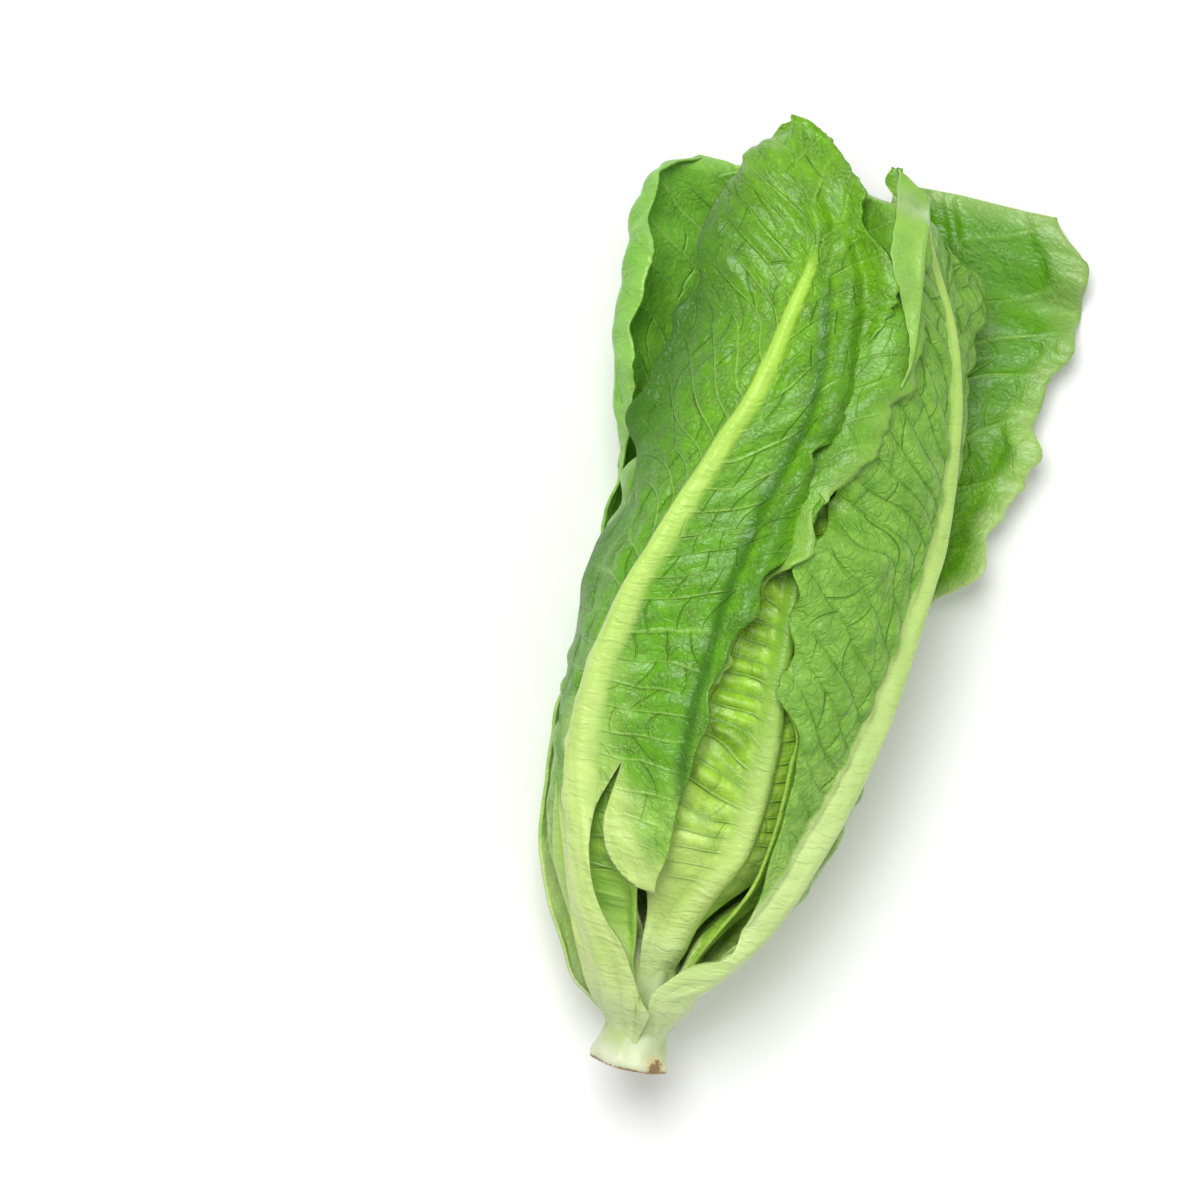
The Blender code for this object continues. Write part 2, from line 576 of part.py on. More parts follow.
def cut_slit(made, cutters):
    """Opens the slit between the stalk and the free lobe of the front leaf."""
    curve = bpy.data.curves.new("slit", "CURVE")
    curve.dimensions = "2D"
    curve.fill_mode = "BOTH"
    curve.extrude = 30 * MM
    line = curve.splines.new("POLY")
    line.points.add(len(SLIT) - 1)
    for point, (x, y) in zip(line.points, SLIT):
        point.co = (x * MM, y * MM, 0, 1)
    line.use_cyclic_u = True
    drawn = bpy.data.objects.new("slit_outline", curve)
    drawn.location = (0, 0, 75 * MM)
    cutters.objects.link(drawn)
    bpy.context.view_layer.update()
    data = bpy.data.meshes.new_from_object(drawn.evaluated_get(bpy.context.evaluated_depsgraph_get()))
    cutter = bpy.data.objects.new("slit_cutter", data)
    cutter.matrix_world = drawn.matrix_world
    cutters.objects.link(cutter)
    bpy.data.objects.remove(drawn)
    mesh = bmesh.new()
    mesh.from_mesh(data)
    bmesh.ops.remove_doubles(mesh, verts=mesh.verts, dist=0.00001)
    bmesh.ops.recalc_face_normals(mesh, faces=mesh.faces)
    mesh.to_mesh(data)
    mesh.free()
    cutter.hide_render = True
    cutter.display_type = "WIRE"
    cut = made.modifiers.new("slit", "BOOLEAN")
    cut.operation = "DIFFERENCE"
    cut.object = cutter


def centre_on_base(head, cutters):
    """Moves the head so that the origin is under its middle, on the surface that it lies on."""
    bpy.context.view_layer.update()
    graph = bpy.context.evaluated_depsgraph_get()
    corners = np.array([piece.matrix_world @ v.co for piece in head for v in piece.evaluated_get(graph).data.vertices])
    low, high = corners.min(axis=0), corners.max(axis=0)
    shift = Vector((-(low[0] + high[0]) / 2, -(low[1] + high[1]) / 2, -low[2]))
    for piece in head + cutters:
        piece.location = piece.location + shift


def main():
    for made in list(bpy.data.objects):
        bpy.data.objects.remove(made)
    head = bpy.data.collections.new("romaine_heart")
    cutters = bpy.data.collections.new("cutters")
    bpy.context.scene.collection.children.link(head)
    bpy.context.scene.collection.children.link(cutters)
    flesh = material("stem_flesh", (0.66, 0.76, 0.38), 0.45)
    heart = material("heart_leaf", (0.52, 0.68, 0.13), 0.45)
    green = material("green_leaf", (0.17, 0.42, 0.05), 0.42)
    made = [stem(head)]
    made[0].data.materials.append(flesh)
    reached = Reached()
    for kept in leaves():
        outer, inner = lay_leaf(kept, reached)
        blade = loft(kept["name"], outer, inner, head)
        blade.data.materials.append(heart if "heart" in kept["name"] or "inner" in kept["name"] else green)
        made.append(blade)
        if kept["name"] == "outer_leaf_front":
            cut_slit(blade, cutters)
    centre_on_base(made, list(cutters.objects))


main()
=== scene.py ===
"""A trimmed head of romaine lettuce on a white table, seen from above.

The leaves are laid as in the part's source, from the same numbers: each one rests on what it wraps, in an
angle, a station and a radius about the head's axis. Then each gets its veins, puckers, pleats and toothed
margin. Lengths are in millimetres until a mesh is made.
"""

import math

import bmesh
import bpy
import numpy as np
from mathutils import Matrix, Vector


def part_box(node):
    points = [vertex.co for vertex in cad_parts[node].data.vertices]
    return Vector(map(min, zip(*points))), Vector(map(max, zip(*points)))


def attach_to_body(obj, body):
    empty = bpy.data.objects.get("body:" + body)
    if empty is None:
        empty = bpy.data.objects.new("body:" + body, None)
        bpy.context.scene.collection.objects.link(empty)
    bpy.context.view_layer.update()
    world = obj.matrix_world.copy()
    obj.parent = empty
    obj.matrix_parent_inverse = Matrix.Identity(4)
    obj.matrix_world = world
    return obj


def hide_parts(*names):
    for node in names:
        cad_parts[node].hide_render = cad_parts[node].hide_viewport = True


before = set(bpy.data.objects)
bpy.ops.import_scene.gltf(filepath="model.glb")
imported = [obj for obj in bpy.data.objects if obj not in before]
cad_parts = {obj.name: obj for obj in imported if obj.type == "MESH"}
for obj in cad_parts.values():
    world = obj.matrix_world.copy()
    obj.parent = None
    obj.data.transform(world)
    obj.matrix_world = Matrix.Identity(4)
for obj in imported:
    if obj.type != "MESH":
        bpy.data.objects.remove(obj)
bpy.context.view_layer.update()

MM = 0.001

# The photograph's frame: its width on the plane 40 mm above the table, how far the camera is from that
# plane, its turn about the vertical, and its middle, sideways and along the head from the cut
FRAME_PLANE = 40.0
FRAME_WIDTH = 324.6
CAMERA_AWAY = 1200.0
FRAME_TURN = 13.5
FRAME_MIDDLE = (-36.9, 121.3)

# Millimetres that one unit of a skin's map stands for
SKIN_SPAN = 300.0

# Size of the whole head
HEAD_LENGTH = 260.0
FLATNESS = 0.82
REST_HEIGHT = 37.5

# Outline of the head: stations from the cut, and the radius of the outermost leaves there. Then the axis:
# how far it bends sideways, how far it lies under the height of the widest part, and where the head turns
# from round to oval
OUTLINE_AT = (0, 6, 12, 16, 20, 29, 39, 50, 61, 75, 91, 104, 130, 150, 175, 200, 220, 235, 248, 260)
OUTLINE = (10.5, 9.6, 9.2, 10.2, 12, 17.6, 24.5, 30.4, 34.8, 39, 42.3, 44.3, 45.6, 45.4, 44.6, 43, 38.5,
           32.5, 26,
           18)
AXIS_AT = (0, 24, 50, 75, 100, 130, 150, 175, 200, 230, 260)
AXIS_SIDEWAYS = (0, 0, 1, 2.6, 3.6, 5.4, 6.6, 6.8, 5, 2, -5)
HEIGHT_AT = (0, 60, 100, 150, 200, 230, 260)
AXIS_BELOW_REST_HEIGHT = (10.0, 3.4, 0.3, 0, 1.5, 4.0, 7.0)
SQUASH_AT = (0, 20, 80, 260)

# Stem: a flared foot, a neck, and a cone that ends inside the heart, with the depth of the hollow in its
# cut
STEM_AT = (0, 1.5, 5, 10, 16, 24, 34, 46, 56, 64)
STEM_RADIUS = (10.2, 10.6, 9.4, 8.4, 8.2, 7.8, 6.4, 4.2, 2.4, 0.8)
STEM_HOLLOW = 0.8

# Leaf thicknesses: the blade at its root and at its tip, and the midrib by share of the leaf's length
BLADE = 0.85
MARGIN = 0.7
RIB_AT = (0, 0.05, 0.12, 0.3, 0.5, 0.7, 0.85, 1.0)
RIB_HEIGHT = (0.6, 3.4, 4.6, 4.2, 3.3, 2.2, 1.1, 0.2)
RIB_HALF_WIDTH = (9.0, 8.4, 6.8, 5.8, 4.6, 3.2, 2.0, 1.0)

# Room round the stem and between leaves, and how softly a leaf comes to rest on the ones inside it
STEM_GAP = 0.6
LEAF_GAP = 1.15
GIVE = 1.2

# Share of the half width at which a leaf that leans away is widest
BRIM_AT = 0.75

# Leaf outline that the hidden leaves share: half width in mm against the share of the leaf's length
SHAPE_AT = (0, 0.06, 0.14, 0.24, 0.38, 0.54, 0.7, 0.82, 0.91, 0.97, 1.0)
SHAPE = (8.5, 8.5, 12, 19, 28, 35, 37, 33, 24, 12, 2)

# Ripples of the margin, in the outline and out of the leaf's surface
NOTCH_DEPTH = 1.5
NOTCH_PITCH = 31.0
RUFFLE_HEIGHT = 2.6
RUFFLE_PITCH = 44.0

# Working grids: the form of a leaf, and the radius reached so far by angle and station. Then how many
# neighbours are cleared, points along a cell that are tested, turns to settle a leaf, and the least gap
FORM_ROWS = 60
FORM_SIDE = 14
ANGLE_STEP = 3.0
STATION_STEP = 2.5
REACH = 2
SAMPLES = 12
SETTLE_TURNS = 8
SMALLEST_GAP = 0.45


def smooth_curve(stations, values, at):
    """Values of a smooth curve through the stations, read at other stations. Values may be rows of
    numbers."""
    t = np.asarray(stations, float)
    y = np.asarray(values, float)
    more = (1,) * (y.ndim - 1)
    step = np.diff(t)
    before, after = step[:-1].reshape((-1,) + more), step[1:].reshape((-1,) + more)
    rise = np.diff(y, axis=0) / step.reshape((-1,) + more)
    inner = (rise[:-1] * after + rise[1:] * before) / (before + after)
    inner = np.where(rise[:-1] * rise[1:] <= 0, 0.0, inner)
    slope = np.concatenate([rise[:1], inner, rise[-1:]])
    at = np.clip(np.asarray(at, float), t[0], t[-1])
    i = np.clip(np.searchsorted(t, at, side="right") - 1, 0, len(t) - 2)
    h = step[i].reshape(i.shape + more)
    f = (np.asarray(at - t[i]) / step[i]).reshape(i.shape + more)
    return (
        y[i] * (1 + 2 * f) * (1 - f) ** 2
        + y[i + 1] * f * f * (3 - 2 * f)
        + h * slope[i] * f * (1 - f) ** 2
        + h * slope[i + 1] * f * f * (f - 1)
    )


def head_radius(s):
    return smooth_curve(OUTLINE_AT, OUTLINE, s)


def stem_radius(s):
    radius = smooth_curve(STEM_AT, STEM_RADIUS, s)
    return np.where(np.asarray(s) > STEM_AT[-1], 0.0, radius)


def axis_at(s):
    """Sideways place and height of the head's axis."""
    return (
        smooth_curve(AXIS_AT, AXIS_SIDEWAYS, s),
        REST_HEIGHT - smooth_curve(HEIGHT_AT, AXIS_BELOW_REST_HEIGHT, s),
    )


def squash(s):
    """How much lower than wide the head is: round at the stem, oval in the body."""
    return smooth_curve(SQUASH_AT, (1, 1, FLATNESS, FLATNESS), s)


def place(angle, s, radius):
    """Points in space for angles in degrees, stations and radii about the axis."""
    x, z = axis_at(s)
    turn = np.radians(angle)
    return np.stack(
        np.broadcast_arrays(
            x + radius * np.cos(turn), s, z + squash(s) * radius * np.sin(turn)
        ),
        axis=-1,
    )


def table_radius(kept, angle, s):
    """Radius at which a point comes to the surface that the head lies on, or to the leaf that lies
    there."""
    drop = -squash(s) * np.sin(np.radians(angle))
    above = kept["above"] * smooth_step(np.mod(angle, 360), 251, 261)
    return np.where(drop > 0.05, (axis_at(s)[1] - above) / np.maximum(drop, 0.05), 1e4)


def smooth_step(x, low, high):
    """0 up to low, 1 from high on, and a smooth rise between."""
    t = np.clip((x - low) / (high - low), 0, 1)
    return t * t * (3 - 2 * t)


def station(kept, v):
    """The station at a share v of a leaf's length."""
    return kept["base"] + v * (kept["tip"] - kept["base"])


def normals(points):
    """Normals of a surface given by rows and columns of points."""
    normal = np.cross(np.gradient(points, axis=0), np.gradient(points, axis=1))
    return normal / np.maximum(np.linalg.norm(normal, axis=-1, keepdims=True), 1e-9)


def leaf(name, base, tip, rails, tightness, **more):
    """One leaf: where it leaves the stem, where it ends, its rails, and its radius as a share of the
    head's."""
    kept = dict(name=name, base=base, tip=tip, rails=rails, tightness=tightness, reach=None, flared=1,
                above=0.0, sag=0.0, ruffle=1.0, columns=3, flank=1, rows=22, phase=0.0)
    kept.update(more)
    return kept


def ruled_rails(angle, turn, width, tightness, base, tip):
    """Rails of a leaf that is hidden: a middle line that turns steadily, and margins from the shared
    outline."""
    share = np.array(SHAPE_AT)
    at = base + share * (tip - base)
    middle = angle + turn * share
    radius = np.maximum(tightness * head_radius(at), stem_radius(at) + 2)
    spread = np.degrees(np.array(SHAPE) * width / radius)
    spread = np.minimum(spread, 150)
    return at, middle, middle - spread, middle + spread


def hidden_leaf(name, base, tip, angle, turn, width, tightness, **more):
    """A leaf whose rails are ruled."""
    rails = ruled_rails(angle, turn, width, tightness, base, tip)
    return leaf(name, base, tip, rails, tightness, **more)


def leaves():
    """The leaves from the heart outwards. Rails are stations, middle line, lower margin and higher
    margin."""
    right_at = (10, 20, 27, 36, 44, 52, 64, 78, 91, 104, 118, 132, 146, 156, 170, 183, 195, 205, 216, 226,
                235, 244,
                253)
    front_at = (9, 19, 26, 33, 41, 50, 60, 72, 86, 102, 115, 124, 132, 138, 143, 149, 153, 160, 166, 173,
                177, 190,
                200, 208, 219, 231, 242, 251, 256, 260)
    return [
        hidden_leaf("heart_leaf_1", 53, 150, 100, 20, 0.42, 0.17, flank=0, rows=12, ruffle=0.3),
        hidden_leaf("heart_leaf_2", 50, 168, 237, 20, 0.62, 0.26, flank=0, rows=12, ruffle=0.3, phase=1.0),
        hidden_leaf("heart_leaf_3", 46, 186, 15, 15, 0.74, 0.34, flank=0, rows=13, ruffle=0.4, phase=2.0),
        hidden_leaf("heart_leaf_4", 42, 202, 152, 15, 0.84, 0.41, flank=0, rows=14, ruffle=0.5, phase=3.0),
        hidden_leaf("inner_leaf_under", 38, 216, 290, 10, 0.9, 0.5, flank=0, rows=16, ruffle=0.6, phase=4.0),
        hidden_leaf("inner_leaf_left", 35, 230, 170, -12, 1.0, 0.6, flank=0, rows=16, ruffle=0.7, phase=5.0),
        leaf(
            "inner_leaf_front", 27, 220,
            (
                (27, 33, 40, 50, 64, 80, 95, 110, 125, 140, 155, 170, 185, 200, 212, 220),
                (76, 70, 67, 66, 63, 65, 68, 73, 76, 79, 82, 84, 87, 90, 92, 94),
                (38, 35, 32, 29, 25, 22, 20, 18, 18, 19, 21, 25, 32, 46, 68, 90),
                (118, 118, 118, 119, 121, 125, 129, 133, 137, 140, 142, 142, 139, 129, 113, 98),
            ),
            0.73, phase=0.7,
        ),
        hidden_leaf("inner_leaf_back", 29, 240, 238, 8, 1.0, 0.68, flank=0, rows=17, phase=2.5),
        leaf(
            "inner_leaf_right", 23, 238,
            (
                (23, 29, 36, 48, 62, 78, 92, 106, 120, 140, 160, 180, 200, 218, 230, 238),
                (-12, -12, -12, -12, -12, -12, -11, -10, -8, -6, -4, 0, 5, 12, 20, 26),
                (-48, -48, -46, -46, -47, -49, -50, -51, -52, -52, -52, -50, -46, -34, -12, 15),
                (34, 38, 43, 48, 51.5, 55.5, 60, 66, 70, 72, 70, 66, 62, 58, 50, 36),
            ),
            0.82, phase=3.3,
        ),
        leaf(
            "middle_leaf_left", 19, 244,
            (
                (19, 25, 34, 46, 60, 80, 100, 120, 140, 160, 175, 190, 205, 220, 232, 240, 244),
                (205, 200, 193, 187, 182, 178, 175, 172, 168, 164, 161, 158, 156, 153, 150, 146, 142),
                (165, 160, 152, 146, 142, 138, 134, 130, 127, 124, 122, 121, 120, 120, 122, 128, 136),
                (242, 239, 234, 230, 228, 227, 226, 224, 220, 212, 206, 200, 195, 190, 183, 172, 152),
            ),
            0.87, phase=1.9,
        ),
        hidden_leaf("middle_leaf_under", 21, 246, 282, 6, 1.0, 0.78, rows=21, phase=0.4),
        leaf(
            "outer_leaf_right", 10, 253,
            (
                right_at,
                (46, 60, 46, 36, 32, 32, 30, 27, 24.5, 23, 22.5, 21, 19.5, 16, 18.4, 21.4, 22, 24, 28, 34,
                 39, 40, 44),
                (2, 8, 0, -16, -27, -33, -38, -42, -46, -49, -52, -55, -57, -58, -58, -57, -54, -48, -40,
                 -28, -14, 4,
                 28),
                (80, 84, 68, 47, 45, 48, 54, 56, 60, 69, 76, 80, 81, 77.5, 75.4, 73, 63, 64, 68.5, 67, 64,
                 60, 54),
            ),
            0.93, phase=2.2,
        ),
        leaf(
            "middle_leaf_front", 20, 254,
            (
                (20, 25, 32, 42, 55, 71, 85, 101, 116, 130, 145, 160, 175, 190, 205, 220, 235, 246, 254),
                (152, 154, 156, 157, 157, 156, 152, 147, 142, 137, 130, 122, 115, 109, 105, 102, 101,
                 103, 105),
                (110, 114, 118, 118, 114, 109, 105, 102, 98, 93, 86, 77, 69, 60, 55, 55, 62, 76, 98),
                (192, 192, 190, 188, 190, 194, 196, 196, 192, 186, 176, 164, 155, 150, 147, 145, 143,
                 134, 112),
            ),
            0.89, phase=4.1,
        ),
        leaf(
            "outer_leaf_under", 11, 246,
            (
                (11, 25, 40, 60, 80, 100, 125, 140, 150, 158, 168, 182, 198, 212, 226, 236, 246),
                (226, 226, 226, 227, 228, 228, 227, 226, 225, 224, 223, 222, 221, 220, 218, 214, 206),
                (190, 190, 191, 192, 192, 192, 190, 188, 184, 179, 173, 167, 165, 165, 167, 171, 180),
                (262, 262, 262, 266, 271, 275, 278, 278, 277, 276, 274, 271, 266, 260, 250, 238, 222),
            ),
            0.94, above=2.5, sag=6.5, columns=4, rows=25, ruffle=0.4, phase=5.2, flared=-1,
            reach=(
                (11, 28, 60, 100, 140, 155, 170, 185, 200, 215, 230, 240, 246),
                (9, 16, 33, 42, 43, 43, 43, 42.5, 41.5, 38.5, 34.5, 30, 27),
                (9, 16, 33, 42, 44, 46.5, 51, 54, 55.5, 55.5, 53, 47, 40),
                (9, 16, 33, 42, 44, 45, 48, 50, 51, 51, 49, 44, 38),
            ),
        ),
        leaf(
            "outer_leaf_front", 9, 260,
            (
                front_at,
                (94, 99, 106, 114, 122, 127, 130.5, 135, 137, 137, 134.6, 133, 130.5, 128, 126.5, 124.6,
                 123.4, 120.5,
                 118, 115, 112.7, 107.5, 104.7, 102.8, 99.4, 98.5, 107, 113, 116, 118),
                (83, 84, 88, 93, 98, 102, 99, 100, 98, 99, 95.6, 94.5, 93, 90.5, 86, 80, 82.5, 82.5, 85,
                 85.5, 79.5,
                 78, 72, 69.5, 70, 75.5, 79.5, 87, 92, 102),
                (148, 148, 146, 144, 143, 144, 147, 152, 159, 166, 169, 169, 168, 165, 163, 160, 159.3,
                 158.8, 158.3,
                 158, 157.6, 154, 150.5, 147.5, 144, 142.3, 142, 146, 146, 136),
            ),
            0.97, columns=4, rows=28, phase=0.2, ruffle=0.7,
        ),
        leaf(
            "outer_leaf_spread", 9, 254,
            (
                (9, 18, 28, 40, 55, 75, 95, 115, 132, 142, 150, 158, 172, 185, 198, 215, 230, 244, 254),
                (-52, -53, -54, -55, -56, -58, -59, -59, -58, -57, -55, -54, -52, -50, -48, -46, -44,
                 -43, -43),
                (-96, -98, -97, -95, -94, -94, -95, -98, -100, -100, -99, -97, -92, -87, -82, -76, -70,
                 -66, -62),
                (-12, -18, -22, -24, -27, -31, -34, -36, -37, -34, -26, -25, -26, -26, -25, -26, -25,
                 -22, -24),
            ),
            1.0, columns=4, rows=26, ruffle=0.4, phase=1.2,
            reach=(
                (9, 28, 60, 100, 140, 152, 170, 200, 225, 240, 254),
                (9, 20, 35, 44, 47.5, 48.5, 49.5, 50.5, 50, 48, 45),
                (9, 20, 36, 46, 52, 57, 61, 66, 69, 68, 65),
                (9, 20, 36, 47, 54, 60, 66, 72, 76, 76, 71),
            ),
        ),
    ]


def wanted_radius(kept, v, u, s):
    """The radius that a leaf would take with nothing in its way, on a grid of rows and columns."""
    outline = kept["tightness"] * head_radius(s)
    if kept["reach"]:
        at, middle, brim, edge = kept["reach"]
        out = np.clip(u * kept["flared"], 0, 1)
        middle, brim, edge = (smooth_curve(at, each, s) for each in (middle, brim, edge))
        outline = middle + (brim - middle) * np.clip(out / BRIM_AT, 0, 1) ** 1.3
        outline = outline + (edge - brim) * np.clip((out - BRIM_AT) / (1 - BRIM_AT), 0, 1) ** 1.6
        outline = outline + kept["sag"] * smooth_step(-u * kept["flared"], 0.08, 0.4) * smooth_step(s, 40, 90)
    start = stem_radius(s) + STEM_GAP
    radius = start + (outline - start) * smooth_step(v, 0.0, 0.2)
    along = s - kept["base"]
    wave = np.sin(2 * math.pi * along / RUFFLE_PITCH + kept["phase"] + np.where(u > 0, 0.0, 1.7))
    return radius + kept["ruffle"] * RUFFLE_HEIGHT * wave * np.abs(u) ** 4 * smooth_step(v, 0.25, 0.5)


def thickness(kept, v, off_rib):
    """Thickness of a leaf at a share v of its length and a distance from its middle line."""
    height = smooth_curve(RIB_AT, RIB_HEIGHT, v) * (kept["tip"] - kept["base"]) / HEAD_LENGTH
    rib = height * np.clip(1 - (off_rib / rib_half_width(kept, v)) ** 2, 0, 1) ** 1.3
    return MARGIN + (BLADE - MARGIN) * (1 - v) + rib


def rib_half_width(kept, v):
    return smooth_curve(RIB_AT, RIB_HALF_WIDTH, v) * (kept["tip"] - kept["base"]) / HEAD_LENGTH


def notch(kept, s, side):
    """How far the margin stands out or in, in mm."""
    along = 2 * math.pi * (s - kept["base"]) / NOTCH_PITCH + kept["phase"] * 3 + side
    return NOTCH_DEPTH * (np.sin(along) + 0.6 * np.sin(1.9 * along + 1.0))


def leaf_angle(kept, v, u):
    """Angle about the axis of a point at share v of the length and share u of the half width."""
    at, middle, low, high = kept["rails"]
    s = station(kept, v)
    radius = np.maximum(kept["tightness"] * head_radius(s), 8.0)
    worn = smooth_step(v, 0.25, 0.4) * (1 - smooth_step(v, 0.93, 1.0))
    centre = smooth_curve(at, middle, s)
    to_high = smooth_curve(at, high, s) - centre + worn * np.degrees(notch(kept, s, 0.0) / radius)
    to_low = centre - smooth_curve(at, low, s) + worn * np.degrees(notch(kept, s, 2.0) / radius)
    return centre + np.where(u > 0, u * to_high, u * to_low)


class Reached:
    """The radius that the stem and the leaves laid so far reach, by station and angle."""

    def __init__(self):
        self.stations = np.arange(0, HEAD_LENGTH + STATION_STEP, STATION_STEP)
        self.angles = np.arange(0, 360, ANGLE_STEP)
        self.radius = np.repeat(stem_radius(self.stations)[:, None], len(self.angles), axis=1)

    def cleared(self):
        """The radius to stay outside, which is smooth and nowhere less than what is reached."""
        field = self.radius
        for axis in (0, 1):
            field = self.sweep(field, axis, np.max)
        for axis in (0, 1):
            field = self.sweep(field, axis, np.mean)
        return field

    def sweep(self, field, axis, gather):
        if axis == 1:
            return gather([np.roll(field, k, axis=1) for k in range(-REACH, REACH + 1)], axis=0)
        rows = np.arange(len(self.stations))
        shifted = [field[np.clip(rows + k, 0, len(rows) - 1)] for k in range(-REACH, REACH + 1)]
        return gather(shifted, axis=0)

    def read(self, field, angle, s):
        """A field read between its grid points."""
        row = np.clip(s / STATION_STEP, 0, len(self.stations) - 1.001)
        column = (angle / ANGLE_STEP) % len(self.angles)
        i, j = row.astype(int), column.astype(int)
        fi, fj = row - i, column - j
        i, j = np.minimum(i, len(self.stations) - 2), j % len(self.angles)
        k = (j + 1) % len(self.angles)
        near = field[i, j] * (1 - fj) + field[i, k] * fj
        far = field[i + 1, j] * (1 - fj) + field[i + 1, k] * fj
        return near * (1 - fi) + far * fi

    def add(self, outer):
        """Takes in the outer face of a leaf, sampled closely, at the grid points all round each sample."""
        angle, s, radius = polar(samples(outer))
        row = np.floor(s / STATION_STEP).astype(int)
        column = np.floor(angle / ANGLE_STEP).astype(int)
        for i in (0, 1):
            for j in (0, 1):
                k = np.clip(row + i, 0, len(self.stations) - 1)
                np.maximum.at(self.radius, (k, (column + j) % len(self.angles)), radius)


def samples(face):
    """Points all over the triangles of a face of rows and columns."""
    share = np.linspace(0, 1, SAMPLES)
    p, q = np.meshgrid(share, share, indexing="ij")
    p, q = p[..., None, None, None], q[..., None, None, None]
    a, b, c, d = face[:-1, :-1], face[:-1, 1:], face[1:, 1:], face[1:, :-1]
    slant = (np.arange(face.shape[1] - 1) >= face.shape[1] // 2)[:, None]
    left = np.where(q > p, a + q * (b - a) + p * (c - b), a + p * (d - a) + q * (c - d))
    right = np.where(p + q < 1, a + q * (b - a) + p * (d - a), c + (1 - q) * (d - c) + (1 - p) * (b - c))
    return np.where(slant, right, left)


def polar(points):
    """Angle, station and radius of points in space."""
    s = points[..., 1]
    x, z = axis_at(s)
    across, up = points[..., 0] - x, (points[..., 2] - z) / squash(s)
    return np.degrees(np.arctan2(up, across)) % 360, s, np.hypot(across, up)


def stretch_of(angle, s, radius):
    """How far the radius must grow for a wall 1 mm thick, because the wall leans."""
    turn = np.radians(angle)
    outwards = np.stack([np.cos(turn), np.zeros_like(turn), squash(s) * np.sin(turn)], axis=-1)
    return 1 / np.clip(np.abs((outwards * normals(place(angle, s, radius))).sum(axis=-1)), 0.42, 1)


def lay_leaf(kept, reached):
    """Settles a leaf on what is inside it, and gives the points of its outer and inner face."""
    v = np.sin(np.linspace(0, math.pi / 2, FORM_ROWS)) ** 1.25
    side = np.linspace(0, 1, FORM_SIDE) ** 1.3
    u = np.concatenate([-side[:0:-1], side])
    v_grid, u_grid = np.meshgrid(v, u, indexing="ij")
    s = station(kept, v_grid)
    angle = leaf_angle(kept, v_grid, u_grid)
    wanted = wanted_radius(kept, v_grid, u_grid, s)
    gap = STEM_GAP + (LEAF_GAP - STEM_GAP) * smooth_step(v_grid, 0.0, 0.12)
    least = reached.read(reached.cleared(), angle, s) + gap
    for turn in range(SETTLE_TURNS):
        give = GIVE * GIVE * smooth_step(v_grid, 0.0, 0.1)
        inner = (wanted + least + np.sqrt((wanted - least) ** 2 + give)) / 2
        stretch = stretch_of(angle, s, inner)
        off_rib = np.abs(u_grid) * half_widths(kept, v_grid, u_grid, inner)
        wall = thickness(kept, v_grid, off_rib) * stretch
        outer = np.minimum(inner + wall, table_radius(kept, angle, s))
        kept["form"] = dict(v=v, u=u, outer=outer, inner=outer - wall, stretch=stretch)
        outer_face, inner_face = leaf_faces(kept)
        at, along, radius = polar(samples(inner_face))
        short = reached.read(reached.radius, at, along) + SMALLEST_GAP - radius
        short = np.maximum(short, 0).max(axis=(0, 1))
        if short.max() < 0.02:
            break
        least = least + spread_over(kept, short, v, u)
    reached.add(outer_face)
    return outer_face, inner_face


def spread_over(kept, short, v, u):
    """What each cell of the mesh is short of, as a field over the working grid."""
    rows = mesh_rows(kept)
    field = np.zeros((len(v), len(u)))
    for i in range(len(rows) - 1):
        near_rows = (v >= rows[i] - 0.02) & (v <= rows[i + 1] + 0.02)
        shares = section_shares(kept, (rows[i] + rows[i + 1]) / 2)
        for j in np.nonzero(short[i] > 0)[0]:
            near = (u >= shares[j] - 0.08) & (u <= shares[j + 1] + 0.08)
            patch = np.outer(near_rows, near) * (short[i, j] * 1.15)
            field = np.maximum(field, patch)
    return field


def half_widths(kept, v, u, radius):
    """Width of the leaf from its middle line to the margin on the side of each point, in mm."""
    centre = leaf_angle(kept, v, np.zeros_like(u))
    edge = leaf_angle(kept, v, np.sign(u) + (u == 0))
    return np.radians(np.abs(edge - centre)) * radius


def section_shares(kept, v):
    """Columns of one section as shares of the half width: the crest, the rib's flanks, and the blade
    evenly."""
    radius = float(kept["tightness"] * head_radius(station(kept, v)))
    shares = []
    for side in (-1.0, 1.0):
        edge = float(leaf_angle(kept, v, side))
        centre = float(leaf_angle(kept, v, 0.0))
        half = math.radians(abs(edge - centre)) * radius
        rib = min(float(rib_half_width(kept, v)) / max(half, 1e-6), 0.6)
        blade = rib + (1 - rib) * np.linspace(0, 1, kept["columns"] + 1)
        shares.append(np.concatenate([[0.55 * rib] * kept["flank"], blade]))
    return np.concatenate([-shares[0][::-1], [0.0], shares[1]])


def mesh_rows(kept):
    """Shares of the leaf's length at which the mesh has its rows: closer together towards the tip."""
    return np.sin(np.linspace(0, math.pi / 2, kept["rows"] + 1)) ** 1.1


